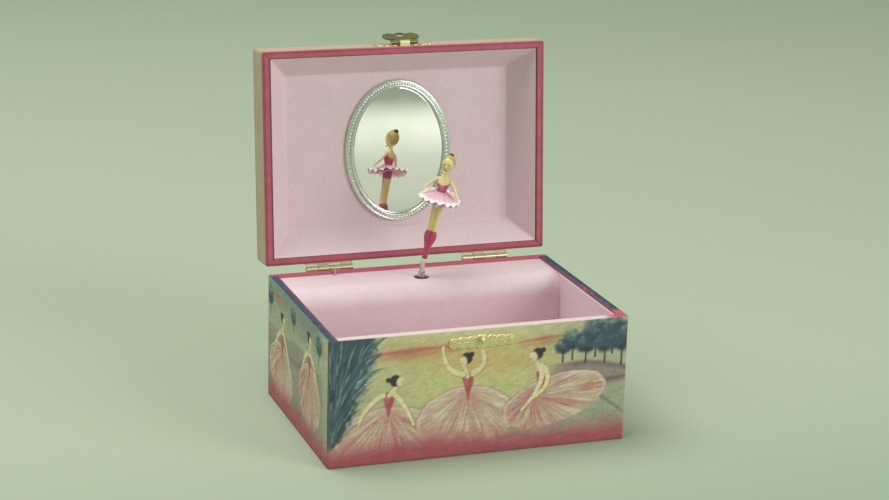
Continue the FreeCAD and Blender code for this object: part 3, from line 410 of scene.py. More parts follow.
def round_tree(picture, s, z, size, seed):
    """A crown of soft clumps, dark below and light above, on a thin trunk."""
    rng = np.random.default_rng(seed)
    foot = z - size * 1.9
    picture.stroke([(s, foot), (s + 0.3, z)], (0.5, 0.28), INK, soft=0.25, strength=0.9)
    picture.blob((s, z), (size, size * 0.95), DEEP, soft=0.3, strength=0.95, wobble=0.07)
    for _ in range(34):
        angle, out = rng.uniform(0, 2 * math.pi), size * math.sqrt(rng.random()) * 0.9
        at = (s + out * math.cos(angle), z + out * 0.9 * math.sin(angle))
        high = (at[1] - z) / size
        colour = INK if high < -0.55 else DEEP if high < -0.05 else TEAL if high < 0.5 else PALE_TEAL
        dab = rng.uniform(0.6, 1.7)
        picture.blob(at, (dab, dab * 0.75), colour, soft=0.7, strength=0.5)


def feather_tree(picture, foot, seed):
    """A dark tree: tapering strokes that fan up and over from its foot, on a mass with a ragged edge."""
    s, z = picture.s, picture.z
    rng = np.random.default_rng(seed)
    across = s - foot

    def edge(height):
        return 25 * np.clip((height - 8) / 56, 1e-3, None) ** 0.62

    ragged = edge(z) + 5.0 * (cloud(s + 300, z + across, 2.4, seed) - 0.6)
    mass = (1 - smooth(-1.8, 1.4, across - ragged)) * smooth(-1.2, -0.2, across) * smooth(8, 12, z)
    picture.wash(DEEP, 0.97 * mass)
    for k in range(150):
        share = rng.random() ** 0.8
        height = rng.uniform(8, 56)
        start = foot + edge(height) * share * 0.9
        turn = math.radians(96 - 52 * share + rng.uniform(-9, 9))
        length = rng.uniform(7, 17)
        end = (start + length * math.cos(turn), height + length * math.sin(turn))
        if start < foot + 0.4 or end[0] < foot + 0.2:
            continue
        mid = ((start + end[0]) / 2 - 0.8, (height + end[1]) / 2 + 0.5)
        colour = (INK, TEAL, INK, (74, 98, 110), PALE_TEAL, TEAL)[k % 6]
        width = rng.uniform(0.25, 0.75)
        picture.stroke([(start, height), mid, end], (0.1, width, 0.06), colour, soft=0.35, strength=0.62)
    for k in range(46):
        height = rng.uniform(33, 60)
        start = foot + edge(height) - rng.uniform(0.5, 4)
        turn = math.radians(rng.uniform(14, 58))
        length = rng.uniform(4, 12)
        end = (start + length * math.cos(turn), height + length * math.sin(turn))
        mid = ((start + end[0]) / 2 - 0.3, (height + end[1]) / 2 + 0.6)
        colour = (TEAL, DEEP, PALE_TEAL)[k % 3]
        picture.stroke([(start, height), mid, end], (0.5, 0.34, 0.05), colour, soft=0.3, strength=0.7)


def skirt(picture, waist, middle, radii, tilt, seed):
    """A full net skirt: a soft oval, rosy near the waist and pale toward the hem.

    Its folds are long streaks of noise that fan from the waist.
    """
    reach = max(radii) * 1.2
    at = picture.near(np.subtract(middle, reach), np.add(middle, reach))
    if not at.size:
        return
    c, n = math.cos(math.radians(tilt)), math.sin(math.radians(tilt))
    ds, dz = picture.s[at] - middle[0], picture.z[at] - middle[1]
    u, v = (ds * c + dz * n) / radii[0], (dz * c - ds * n) / radii[1]
    around = np.arctan2(v, u)
    r = np.hypot(u, v) / (1 + 0.010 * np.cos(9 * around + seed) + 0.006 * np.cos(23 * around))
    body = 1 - smooth(0.95, 1.015, r)
    fan = np.arctan2(picture.z[at] - waist[1], picture.s[at] - waist[0])
    out = np.hypot(picture.z[at] - waist[1], picture.s[at] - waist[0])
    broad = cloud(fan * 9 + 60, out / 16, 1, seed)
    fine = cloud(fan * 30 + 150, out / 9, 1, seed + 1)
    far = out / reach
    picture.blend(at, PETAL, 0.96 * body)
    picture.blend(at, ROSE, body * 0.75 * (1 - smooth(0.0, 0.55, far)))
    picture.blend(at, ROSE, body * 0.8 * smooth(0.5, 0.85, broad))
    picture.blend(at, FOAM, body * 0.75 * smooth(0.52, 0.9, fine) * smooth(0.02, 0.3, far))
    picture.blend(at, (170, 104, 98), body * 0.45 * smooth(0.62, 0.9, 1 - fine) * (1 - smooth(0.3, 0.9, far)))
    picture.blend(at, FOAM, body * 0.4 * smooth(0.2, 0.9, v + 0.35 * u) * smooth(0.5, 0.95, r))
    rim = np.exp(-(((r - 0.95) / 0.03) ** 2)) * smooth(-0.5, 0.3, v + 0.3 * np.abs(u))
    picture.blend(at, FOAM, rim * 0.6)
    line = np.exp(-(((r - 1.005) / 0.02) ** 2)) * smooth(-0.3, 0.5, v)
    picture.blend(at, (150, 92, 80), line * 0.3)


def painted_dancer(picture, d):
    """One painted dancer: skirt, bodice, neck, arms and head, from the places in d."""
    skirt(picture, d["waist"], d["skirt"], d["radii"], d.get("tilt", 0), d["seed"])
    chest, waist, head = np.array(d["chest"]), np.array(d["waist"]), np.array(d["head"])
    low = waist * 0.72 + np.array(d["skirt"]) * 0.28
    middle = chest * 0.5 + waist * 0.5 + np.array([d.get("bow", 0.0), 0])
    picture.blob(tuple(chest + [0, 0.6]), (3.5, 1.7), SKIN_SHADE, soft=0.25)
    picture.blob(tuple(chest + [-0.2, 0.9]), (3.1, 1.5), SKIN, soft=0.25)
    picture.stroke([tuple(chest - [0, 0.6]), tuple(middle), tuple(low)], (2.9, 2.3, 0.3), BODICE, soft=0.5)
    light = [tuple(chest - [0.8, 0.6]), tuple(middle - [0.8, 0])]
    picture.stroke(light, (0.9, 0.7), (214, 134, 134), soft=0.9, strength=0.6)
    throat = chest + (head - chest) * 0.05
    picture.stroke([tuple(throat), tuple(head)], (1.35, 1.0), SKIN_SHADE, soft=0.25, strength=0.7)
    picture.stroke([tuple(throat - [0.2, 0]), tuple(head)], (1.1, 0.85), SKIN, soft=0.25)
    for arm in d["arms"]:
        lower = [(a + 0.35, b - 0.35) for a, b in arm]
        picture.stroke(lower, (1.5, 1.25, 0.8), SKIN_SHADE, soft=0.35, strength=0.85)
        picture.stroke(arm, (1.35, 1.1, 0.62), SKIN, soft=0.3)
    tilt = d.get("head_tilt", 0)
    hair = np.array(d["hair"])
    picture.blob(tuple(head + hair), (2.75, 2.9), HAIR, soft=0.2)
    picture.blob(tuple(head + hair * 2.4), (1.35, 1.25), HAIR, soft=0.3)
    picture.blob(tuple(head), (2.1, 2.8), SKIN_SHADE, tilt=tilt, soft=0.2)
    picture.blob(tuple(head - hair * 0.12), (1.85, 2.5), SKIN, tilt=tilt, soft=0.22)
    picture.blob(tuple(head - hair * 0.55 - [0, 0.5]), (0.7, 0.5), ROSE, soft=0.7, strength=0.55)


def wall_dancers():
    """Places of the painted dancers round the walls."""
    return [
        {"waist": (-46, 27.5), "chest": (-46, 34), "skirt": (-46.5, 13.5), "radii": (26.5, 15.0), "tilt": 2,
         "head": (-40.5, 41.0), "hair": (-2.4, 0.4), "head_tilt": -25, "seed": 4,
         "arms": [[(-49, 34.5), (-56, 29.5), (-61, 21)], [(-43.5, 35), (-38, 28), (-33.5, 18.5)]]},
        {"waist": (-6, 33), "chest": (-6.5, 40), "skirt": (-7, 18.5), "radii": (25, 17), "tilt": 2,
         "head": (-9.0, 48.2), "hair": (1.7, 1.3), "head_tilt": 12, "seed": 9,
         "arms": [[(-9, 41.5), (-16.5, 46), (-19.5, 56)], [(-4, 41.5), (1.5, 47), (-0.5, 54.5)]]},
        {"waist": (27, 27.5), "chest": (31.5, 39), "skirt": (38.5, 24.5), "radii": (28, 12.5), "tilt": 15,
         "head": (27.0, 47.5), "hair": (2.0, 1.2), "head_tilt": 28, "bow": 2.2, "seed": 14,
         "arms": [[(31, 42.5), (30, 32), (21.5, 20.5)], [(33, 41), (34, 33), (27, 26)]]},
        {"waist": (-108, 40), "chest": (-108.5, 46), "skirt": (-108, 25), "radii": (19, 16.5), "tilt": -4,
         "head": (-107, 53.5), "hair": (-1.7, 1.3), "head_tilt": -8, "seed": 21,
         "arms": [[(-111, 46.5), (-117, 42), (-121, 34)], [(-106, 46.5), (-100, 42), (-95, 35)]]},
        {"waist": (-157, 34), "chest": (-158, 41), "skirt": (-160, 20), "radii": (22, 15.5), "tilt": -6,
         "head": (-155, 48.5), "hair": (-2.0, 0.9), "head_tilt": -20, "seed": 26,
         "arms": [[(-160.5, 41.5), (-167, 37), (-172, 28)], [(-155.5, 41.5), (-150, 36), (-144, 29)]]},
        {"waist": (128, 33), "chest": (128.5, 40), "skirt": (129, 18.5), "radii": (24, 16), "tilt": 3,
         "head": (131.5, 48), "hair": (-1.9, 1.0), "head_tilt": -14, "seed": 33,
         "arms": [[(125.5, 41), (118, 38), (112, 29)], [(131, 41), (139, 44), (146, 52)]]},
        {"waist": (232, 30), "chest": (231, 37), "skirt": (232, 16.5), "radii": (25, 15), "tilt": -3,
         "head": (228, 45), "hair": (1.8, 1.1), "head_tilt": 14, "seed": 41,
         "arms": [[(228.5, 38), (220, 34), (214, 25)], [(233.5, 38), (240, 42), (245, 50)]]},
        {"waist": (292, 31), "chest": (293, 38), "skirt": (292, 17), "radii": (25, 15.5), "tilt": 4,
         "head": (296, 46), "hair": (-1.9, 1.0), "head_tilt": -14, "seed": 47,
         "arms": [[(290.5, 39), (283, 43), (279, 51)], [(295.5, 39), (303, 35), (310, 26)]]},
    ]


def landscape(s, z):
    """The printed picture that runs round all four walls.

    The front is from -76 to 76. The right-hand wall and then the back follow it, and the
    left-hand wall lies before it.
    """
    picture = Picture(s, z)
    sky(picture)
    hills(picture)
    trees = (
        (42, 51, 4.0), (47, 54, 5.2), (54, 52, 5.2), (59, 57.5, 6.8), (64, 52, 5.6), (68, 58, 6.6),
        (73, 54, 7.6), (79, 54, 5.0), (88, 57, 5.6), (97, 52, 4.6), (152, 53, 5.0), (161, 57, 6.0),
        (171, 52, 5.0), (180, 56, 5.6), (192, 52, 5.0), (201, 56, 5.8), (210, 51, 4.4), (258, 53, 4.8),
        (266, 57, 5.6), (275, 52, 4.6), (322, 55, 5.6), (332, 52, 5.0), (-92, 56, 4.8), (-180, 55, 5.0),
        (-137, 57, 4.4),
    )
    for k, (at, high, size) in enumerate(trees):
        round_tree(picture, at, high, size, 60 + k)
    for d in wall_dancers():
        painted_dancer(picture, d)
    feather_tree(picture, -76.3, 11)
    ground(picture)
    return picture.done()


def ground(picture):
    """The band at the foot, which fades up into the picture, a painted shadow along its lowest edge, and a mottle
    over everything.
    """
    s, z = picture.s, picture.z
    band = np.array(colours().band) * 255
    wave = 1.2 * np.sin(s / 19) + 1.5 * (cloud(s, z, 8, 77) - 0.5)
    picture.wash(band, 0.55 * (1 - smooth(6, 17, z + wave)))
    picture.wash(band, 0.95 * (1 - smooth(3.5, 10.5, z + wave)))
    # Darker still along the very bottom edge: painted shadow.
    picture.wash(band * 0.86, 0.5 * (1 - smooth(0, 3.5, z)))
    picture.wash((250, 238, 236), np.full(s.size, 0.07))
    mottle = (cloud(s, z, 1.0, 88) - 0.5) * 0.06 + (cloud(s, z, 5.0, 89) - 0.5) * 0.04
    strokes = (cloud(s + 0.5 * z + 300, 4 * z - s + 500, 3.0, 90) - 0.5) * 0.09
    picture.paint *= (1 + mottle + strokes)[:, None]


def rim_paint(x, y, base):
    """Colour of the paper over the rim.

    It is rose at the back and all round the lid, plum and teal where the picture turns
    over at the base's sides, and pale along its front.
    """
    rose = np.array(colours().rim)
    mottle = cloud(x + 90, y + 70, 3.2, 31)[..., None]
    if not base:
        inward = np.minimum(HALF_W - np.abs(x), HALF_D - np.abs(y))[..., None]
        # On the lid, a darker line near the outer edge and a darker inner lip where the rim meets the lining:
        # painted shade.
        rim_edge_shade = 0.22 * np.exp(-(((inward - 0.9) / 0.35) ** 2)) + 0.45 * smooth(3.4, 4.1, inward)
        return rose * (0.95 + 0.1 * mottle) * (1 - rim_edge_shade)
    inward = np.maximum(HALF_W - np.abs(x), 0)[..., None]
    teal = np.array(DEEP) / 255 * (0.75 + 0.3 * mottle)
    plum = np.array(PLUM) / 255 * (0.85 + 0.2 * mottle)
    dark = teal + (plum - teal) * smooth(2.4, 3.4, inward)
    spots = smooth(0.62, 0.72, cloud(x + 90, y + 70, 2.1, 35))[..., None] * smooth(2.0, 3.0, inward)
    dark = dark + (rose * 0.9 - dark) * spots * (x > 0)[..., None] * (1 - smooth(-10, 20, y))[..., None]
    dark = dark + (np.array(PALE_TEAL) / 255 - dark) * 0.6 * (1 - smooth(0.2, 0.8, inward))
    beside = smooth(0.0, 0.6, np.abs(x) - OPEN_X + 0.3)[..., None]
    side = beside * (1 - smooth(HALF_D - 4.4, HALF_D - 3.2, y))[..., None]
    front = (1 - smooth(-OPEN_Y - 0.4, -OPEN_Y + 0.6, y))[..., None]
    pale = np.array([232, 206, 208]) / 255
    out = rose + (dark - rose) * side
    out = out + (pale - out) * front * (1 - side * (np.abs(x) > OPEN_X)[..., None])
    patch_of_rose = smooth(62, 70, x)[..., None] * (1 - smooth(-HALF_D + 8, -HALF_D + 14, y))[..., None]
    return out + (rose - out) * patch_of_rose


# The papers


def wall_plan(side, step):
    """Outer and inner places of one wall in plan, from corner to corner.

    The outer line is straight with a quarter of a circle at each end, cut at its middle.
    The inner line is spread evenly along the opening's side.
    """
    corner = 1.2
    half_along, half_out = (HALF_W, HALF_D) if side in ("front", "back") else (HALF_D, HALF_W)
    open_along, open_out = (OPEN_X, OPEN_Y) if side in ("front", "back") else (OPEN_Y, OPEN_X)
    count = int(round(2 * half_along / step))
    a = np.linspace(-half_along + corner, half_along - corner, count)
    turn = np.radians(np.linspace(45, 0, 5))[:-1]
    end_a = half_along - corner + corner * np.sin(turn)
    end_o = half_out - corner + corner * np.cos(turn)
    along = np.concatenate([-end_a, a, end_a[::-1]])
    out = np.concatenate([end_o, np.full(count, half_out), end_o[::-1]])
    share = along / half_along
    return along, out, share * open_along, np.full(along.size, open_out)


def stand(side, along, out):
    """Plan places of a wall drawn along and outward: the front looks toward -Y, the others follow it."""
    return {
        "front": (along, -out),
        "right": (out, along),
        "back": (-along, out),
        "left": (-out, -along),
    }[side]


def along_picture(side, along):
    """Where a wall's points lie along the printed picture."""
    step = HALF_W + HALF_D
    return along + {"front": 0.0, "right": step, "back": 2 * step, "left": -step}[side]


def wrap_wall(side, low, high, rim_low, under, step, grow=1.0):
    """One papered wall with its rim and its turn-in.

    A profile runs from the lip inside, over the rounded rim, down the wall and under, and
    is carried along the wall. rim_low puts the rim at the bottom, as on the closed lid.
    """
    r = sizes().edge_radius
    along, out, in_along, in_out = wall_plan(side, step)
    rim = np.hypot(in_along - along, in_out - out).min()
    quarter = np.linspace(0, math.pi / 2, 6)
    tall = high - low
    rows = max(int(round((tall - 2 * r) / step * grow)), 4)
    inner = [(rim, 1.2), (rim, 0.5), (rim - 0.1, 0.15), (rim - 0.35, 0.0)]
    flat = [(d, 0.0) for d in np.linspace(rim - 0.8, r + 0.3, 6)]
    edge = [(r - r * math.sin(q), r - r * math.cos(q)) for q in quarter]
    wall = [(0.0, h) for h in np.linspace(r, tall - r, rows)[1:-1]]
    foot = [(r - r * math.cos(q), tall - r + r * math.sin(q)) for q in quarter]
    tail = [(d, tall) for d in np.linspace(r, under, 5)[1:]]
    profile = np.array(inner + flat + edge + wall + foot + tail)
    inward, drop = profile[:, 0][None, :], profile[:, 1][None, :]
    t = inward / rim
    a = along[:, None] + (in_along - along)[:, None] * t
    o = out[:, None] + (in_out - out)[:, None] * t
    x, y = stand(side, a, o)
    z = np.broadcast_to(low + drop if rim_low else high - drop, x.shape)
    points = np.stack([x, y, z], -1)
    s = along_picture(side, np.broadcast_to(along[:, None], x.shape))
    paint = lid_wall_paint(s, z) if rim_low else landscape(s, z)
    turned = np.maximum(1 - smooth(0.15, 0.6, drop), inward > rim - 0.2)
    over = np.broadcast_to(turned, x.shape)[..., None]
    return points, paint + (rim_paint(x, y, not rim_low) - paint) * over


def lid_wall_paint(s, z):
    """Warm mist round the lid's walls, with a rose line at the mouth and a rosy edge at the top."""
    picture = Picture(s, z)
    picture.wash((196, 178, 154), np.ones(picture.s.size))
    picture.wash((208, 164, 142), 0.6 * cloud(picture.s, picture.z * 1.6, 11, 61))
    picture.wash(SAGE, 0.5 * cloud(picture.s, picture.z * 1.3, 17, 62))
    rose = np.array(colours().rim) * 255
    picture.wash(rose, 0.8 * (1 - smooth(LID_Z + 0.6, LID_Z + 1.6, picture.z)))
    picture.wash(rose, 0.5 * smooth(LID_TOP - 3, LID_TOP - 0.5, picture.z))
    mottle = (cloud(picture.s, picture.z, 1.3, 88) - 0.5) * 0.05
    picture.paint *= (1 + mottle)[:, None]
    return picture.done()


def base_papers():
    """The printed paper round the base: one wall to a piece, joined at the corners."""
    material = printed_paper()
    for side, step in (("front", 0.4), ("left", 0.45), ("right", 0.45), ("back", 0.55)):
        points, paint = wrap_wall(side, 0.0, BASE_H, False, 8.0, step)
        mesh = build(f"base_paper_{side}", [patch(points, flip=True, paint=paint)])
        place(f"base_paper_{side}", mesh, material, "base", ["base_paper_wrap"])


def lid_picture(x, y):
    """The picture on top of the lid: the same evening land with two dancers, drawn larger."""
    scale = 1.72
    picture = Picture(x / scale, (y + HALF_D) / scale)
    sky(picture)
    hills(picture)
    trees = ((30, 49, 4.6), (36, 53, 5.4), (42, 48, 4.4), (-38, 50, 4.2), (-31, 47, 3.8))
    for k, (at, high, size) in enumerate(trees):
        round_tree(picture, at, high, size, 120 + k)
    for d in (
        {"waist": (2, 33), "chest": (1.5, 40), "skirt": (1, 19.5), "radii": (23, 15.5), "tilt": 2,
         "head": (4, 48), "hair": (-1.8, 1.2), "head_tilt": -12, "seed": 52,
         "arms": [[(-1, 41), (-9, 44), (-14, 52)], [(4, 41), (11, 37), (17, 29)]]},
        {"waist": (-30, 24), "chest": (-30.5, 30), "skirt": (-30, 12.5), "radii": (14, 12), "tilt": 3,
         "head": (-28, 36.5), "hair": (-1.7, 1.0), "head_tilt": -16, "seed": 57,
         "arms": [[(-32.5, 31), (-37, 27), (-39, 20)], [(-28, 31), (-24, 27), (-20, 22)]]},
    ):
        painted_dancer(picture, d)
    ground(picture)
    band = np.array(colours().band)
    inset = np.minimum(HALF_W - np.abs(x), HALF_D - np.abs(y)).ravel()
    ragged = inset + 0.8 * cloud(x.ravel() + 80, y.ravel() + 60, 6, 5)
    picture.wash(band * 255, 0.9 * (1 - smooth(2.4, 4.6, ragged)))
    picture.wash((206, 190, 128), np.exp(-(((inset - 5.2) / 0.35) ** 2)) * 0.9)
    return picture.done()


def lid_papers():
    """The printed paper over the lid's walls and top."""
    material = printed_paper()
    patches = []
    for side in ("front", "left", "right", "back"):
        points, paint = wrap_wall(side, LID_Z, LID_TOP, True, 2.5, 0.9, grow=1.4)
        patches.append(patch(opened(points), paint=paint))
    mesh = build("lid_paper_walls", patches)
    place("lid_paper_walls", mesh, material, "lid", ["lid_paper_wrap"])
    x = np.linspace(-HALF_W + 1.2, HALF_W - 1.2, 270)[:, None]
    y = np.linspace(-HALF_D + 1.2, HALF_D - 1.2, 196)[None, :]
    x, y = np.broadcast_arrays(x, y)
    z = LID_TOP + 0.02 * smooth(0, 6, np.minimum(HALF_W - np.abs(x), HALF_D - np.abs(y)))
    mesh = build("lid_paper_top", [patch(opened(np.stack([x, y, z], -1)), paint=lid_picture(x, y))])
    place("lid_paper_top", mesh, material, "lid")


# The linings


def soft_least(values, width):
    """The least of several numbers, rounded off over that width where they cross."""
    values = np.stack(values)
    least = values.min(0)
    return least - width * np.log(np.exp(-(values - least) / width).sum(0))


def crowded(half, count):
    """Places from -half to half, by a sine, so that they crowd toward both ends."""
    share = 0.86
    return half * np.sin(np.linspace(-1, 1, count) * math.pi / 2 * share) / math.sin(math.pi / 2 * share)


def lid_lining():
    """Sloping walls and flat back as one surface over the opening.

    Its depth is the soft least of the four slopes and the full depth, with a faint swell
    of padding.
    """
    mouth, back_z = LID_Z + 0.35, LINING_Z
    back_x, back_y = 60.5, 40.5
    full = back_z - mouth
    x, y = np.broadcast_arrays(crowded(OPEN_X, 221)[:, None], crowded(OPEN_Y, 171)[None, :])
    run_x, run_y = full / (OPEN_X - back_x), full / (OPEN_Y - back_y)
    fold = sizes().lining_fold * 0.32
    slopes = [(OPEN_X - x) * run_x, (OPEN_X + x) * run_x, (OPEN_Y - y) * run_y, (OPEN_Y + y) * run_y]
    depth = soft_least([*slopes, np.full(x.shape, full)], fold)
    ripple = 0.10 * (cloud(x + 90, y + 70, 17, 6) - 0.5) + 0.05 * (cloud(x + 90, y + 70, 7, 9) - 0.5)
    edge = smooth(0, 3, np.minimum(OPEN_X - np.abs(x), OPEN_Y - np.abs(y)))
    depth = np.maximum(depth, 0) - np.abs(ripple) * edge * 1.2
    points = opened(np.stack([x, y, mouth + depth], -1))
    mesh = build("lid_lining", [patch(points, flip=True)])
    piece = place("lid_lining", mesh, lining_paper(), "lid", ["lid_liner"])
    thicken(piece, 0.35)


def thicken(piece, thickness):
    """Gives a sheet its thickness on the side away from its faces."""
    wall = piece.modifiers.new("card", "SOLIDIFY")
    wall.thickness = thickness * MM
    wall.offset = -1.0


def tray_lining():
    """The compartment's lining.

    A wall profile with a soft foot is carried round three sides, with the floor between
    them. A cheek on each side fills the corner over the platform's rounded nose.
    """
    low, high = millimetres("compartment_liner")
    floor, top, back = low[2] + 0.5, high[2], high[1]
    fold, r = sizes().lining_fold, 1.6
    quarter = np.radians(np.linspace(0, 90, 7))
    turn_a = np.stack([-OPEN_X + r - r * np.cos(quarter), -OPEN_Y + r - r * np.sin(quarter)], -1)
    turn_b = np.stack([OPEN_X - r + r * np.sin(quarter), -OPEN_Y + r - r * np.cos(quarter)], -1)
    side_y = np.linspace(back, -OPEN_Y + r, 60)[:-1]
    front_x = np.linspace(-OPEN_X + r, OPEN_X - r, 110)[1:-1]
    path = np.concatenate([
        np.stack([np.full(side_y.size, -OPEN_X), side_y], -1), turn_a,
        np.stack([front_x, np.full(front_x.size, -OPEN_Y)], -1), turn_b,
        np.stack([np.full(side_y.size, OPEN_X), side_y[::-1]], -1),
    ])
    past_x = np.clip(-path[:, 0] - np.sign(-path[:, 0]) * (OPEN_X - r), -r, r)
    inward = np.stack([past_x, np.zeros(len(path))], -1) / r
    inward[:, 1] = np.clip((-OPEN_Y + r - path[:, 1]) / r, 0, 1)
    inward /= np.maximum(np.linalg.norm(inward, axis=1, keepdims=True), 1e-9)
    q = np.linspace(0, math.pi / 2, 8)
    rows, straight = 46, top - floor - fold
    drops = np.concatenate([np.linspace(0, straight, rows), straight + fold * np.sin(q[1:])])
    ins = np.concatenate([np.zeros(rows), fold - fold * np.cos(q[1:])])
    plan = path[:, None, :] + inward[:, None, :] * ins[None, :, None]
    z = np.broadcast_to(top - drops[None, :], plan.shape[:2])
    swell = cloud(plan[..., 0] + plan[..., 1] + 200, z, 19, 14) - 0.5
    bulge = 0.22 * swell * smooth(0, 8, drops)[None, :]
    plan = plan + inward[:, None, :] * np.abs(bulge)[..., None]
    walls = np.concatenate([plan, z[..., None]], -1)
    fx = np.linspace(-OPEN_X + 0.2, OPEN_X - 0.2, 140)[:, None]
    fy = np.linspace(-OPEN_Y + 0.2, back, 74)[None, :]
    fx, fy = np.broadcast_arrays(fx, fy)
    floor_z = floor + 0.12 * (cloud(fx + 90, fy + 70, 23, 15) - 0.5)
    ground_sheet = np.stack([fx, fy, floor_z - 0.05], -1)
    nose_r = 10.0
    back_y = np.linspace(0, 1, 17)[:, None] * nose_r
    curve = top - nose_r + np.sqrt(np.clip(nose_r**2 - (nose_r - back_y) ** 2, 0, None)) + 0.1
    up = np.linspace(0, 1, 9)[None, :]
    side_z = np.minimum(curve, top) + (top - np.minimum(curve, top)) * up
    cheek_y = np.broadcast_to(back + back_y, side_z.shape)
    cheeks = []
    for side in (-1, 1):
        cheek = np.stack([np.full(side_z.shape, side * OPEN_X), cheek_y, side_z], -1)
        cheeks.append(patch(cheek, flip=side > 0))
    mesh = build("tray_lining", [patch(walls, flip=False), patch(ground_sheet), *cheeks])
    piece = place("tray_lining", mesh, lining_paper(), "base", ["compartment_liner"])
    thicken(piece, 0.3)


# The mirror


def oval_rings(half_x, half_y, inset, height, count, wave=None):
    """Rings round the mirror: the oval drawn in by inset and raised by height from the lining."""
    u = np.linspace(0, 2 * math.pi, count, endpoint=False)[:, None]
    inset, height = np.broadcast_arrays(np.asarray(inset)[None, :], np.asarray(height)[None, :])
    if wave is not None:
        inset, height = wave(u, inset, height)
    nx, ny = np.cos(u) / half_x, np.sin(u) / half_y
    size = np.hypot(nx, ny)
    x = half_x * np.cos(u) - inset * nx / size
    y = half_y * np.sin(u) - inset * ny / size + MIRROR_Y
    return np.stack([x, y, LINING_Z - height], -1)


def mirror():
    """The mirror's pressed frame and its bevelled glass.

    The frame is a section with a flange, a bead row and a sloping lip, carried round the
    oval. The glass is rings that close in on the middle.
    """
    low, high = millimetres("mirror_frame")
    half_x = (high[0] - low[0]) / 2
    half_y = MIRROR_HALF_Y
    beads = sizes().frame_beads
    section = np.array([
        (0.7, 0.02), (0.55, 0.4), (0.0, 0.75), (0.1, 1.1), (0.3, 1.5), (0.6, 1.9), (0.95, 2.12),
        (1.3, 2.1), (1.6, 1.85), (1.75, 1.6), (1.85, 1.62), (1.98, 1.82), (2.15, 1.95), (2.32, 1.82),
        (2.45, 1.62), (2.55, 1.7), (2.7, 2.2), (2.95, 2.6), (3.25, 2.78), (3.6, 2.76), (3.9, 2.5),
        (4.12, 2.0), (4.28, 1.6), (4.4, 1.35), (4.4, 0.6),
    ])
    row, row_width, dent = 2.15, 0.24, 0.6

    def beading(u, inset, height):
        on_row = np.exp(-(((inset - row) / row_width) ** 2))
        notch = np.abs(np.cos(beads * u / 2)) ** 0.7
        return inset, height - dent * on_row * (1 - notch)

    rings = oval_rings(half_x, half_y, section[:, 0], section[:, 1], beads * 8, beading)
    mesh = build("mirror_frame_pressed", [patch(opened(rings), wrap=(True, False))])
    place("mirror_frame_pressed", mesh, silver(), "lid", ["mirror_frame"])
    steps = np.array([4.3, 4.4, 4.85, 4.9, 4.95, 5.05, 5.05, 5.05, 5.05, 5.05])
    heights = np.array([1.0, 1.1, 1.19, 1.2, 1.2, 1.2, 1.2, 1.2, 1.2, 1.2])
    shrink = np.array([1, 1, 1, 1, 1, 1, 0.8, 0.5, 0.2, 0.001])
    u = np.linspace(0, 2 * math.pi, 240, endpoint=False)[:, None]
    x = (half_x - steps)[None, :] * shrink * np.cos(u)
    y = (half_y - steps)[None, :] * shrink * np.sin(u) + MIRROR_Y
    z = np.broadcast_to(LINING_Z - heights[None, :], x.shape)
    mesh = build("mirror_glass_oval", [patch(opened(np.stack([x, y, z], -1)), wrap=(True, False))])
    place("mirror_glass_oval", mesh, mirror_glass(), "lid", ["mirror_glass"])


# Catch and clasp plates


def scalloped_plate(width, height, thickness, relief):
    """A stamped plate drawn flat: x, z and how far its face stands out.

    Its half height is the tallest of a row of circles at each place along it, its face is
    domed toward the edge, and relief adds what is pressed into it.
    """
    half_w, half_h = width / 2, height / 2
    end_r = half_h * 0.72
    circles = [
        (0.0, half_h), (half_w * 0.30, half_h * 0.88), (half_w * 0.58, half_h * 0.84),
        (half_w - end_r, end_r),
    ]
    x = half_w * np.sin(np.linspace(-1, 1, 261) * math.pi / 2)
    tall = np.full(x.size, 0.02)
    for c, r in circles:
        for side in (-1, 1):
            inside = np.clip(r * r - (x - side * c) ** 2, 0, None)
            tall = np.maximum(tall, np.sqrt(inside))
    body = np.where(np.abs(x) < half_w - end_r, half_h * 0.66, 0.0)
    tall = np.maximum(tall, body)
    t = np.sin(np.linspace(-1, 1, 45) * math.pi / 2)
    px = np.broadcast_to(x[:, None], (x.size, t.size))
    pz = tall[:, None] * t[None, :]
    edge = np.minimum(tall[:, None] * (1 - np.abs(t))[None, :], (half_w - np.abs(x))[:, None])
    out = thickness * (0.25 + 0.75 * smooth(0, 0.5, edge)) + relief(px, pz) * smooth(0.5, 1.0, edge)
    return px, pz, out


def rosettes(centres, petals):
    """Pressed flowers: round each centre a ring of petals and a button, as bumps in millimetres."""

    def relief(x, z):
        out = np.zeros(x.shape)
        for c, size in centres:
            r, a = np.hypot(x - c, z), np.arctan2(z, x - c)
            bloom = np.exp(-(((r - size * 0.55) / (size * 0.26)) ** 2)) * (0.55 + 0.45 * np.cos(petals * a))
            button = np.exp(-((r / (size * 0.2)) ** 2))
            ring = np.exp(-(((r - size * 0.93) / 0.13) ** 2))
            out += 0.16 * bloom + 0.2 * button + 0.08 * ring
        return out

    return relief


def catch_piece():
    """The catch plate on the base with its pressed flowers."""
    low, high = millimetres("catch_plate")
    width, height, thickness = high[0] - low[0], high[2] - low[2], high[1] - low[1]
    centre_z = (low[2] + high[2]) / 2
    half = width / 2
    spots = [(s * half * c, height * h) for s in (-1, 1) for c, h in ((0.36, 0.34), (0.62, 0.28), (0.86, 0.18))]
    px, pz, out = scalloped_plate(width, height, thickness, rosettes(spots, 6))
    front = np.stack([px, -HALF_D - out, centre_z + pz], -1)
    rear = np.stack([px, np.full(px.shape, -HALF_D - 0.02), centre_z + pz], -1)
    mesh = build("catch_plate_pressed", [patch(front), patch(rear, flip=True)])
    place("catch_plate_pressed", mesh, gilt(), "base", ["catch_plate"])


# Spring, dancer and skirt


def frames_along(path):
    """A direction and two directions across it at each point of a smooth path."""
    ahead = np.gradient(path, axis=0)
    ahead /= np.linalg.norm(ahead, axis=1, keepdims=True)
    guide = np.array([0.0, 1.0, 0.0])
    across = np.cross(ahead, guide)
    across /= np.linalg.norm(across, axis=1, keepdims=True)
    return ahead, across, np.cross(across, ahead) * -1.0


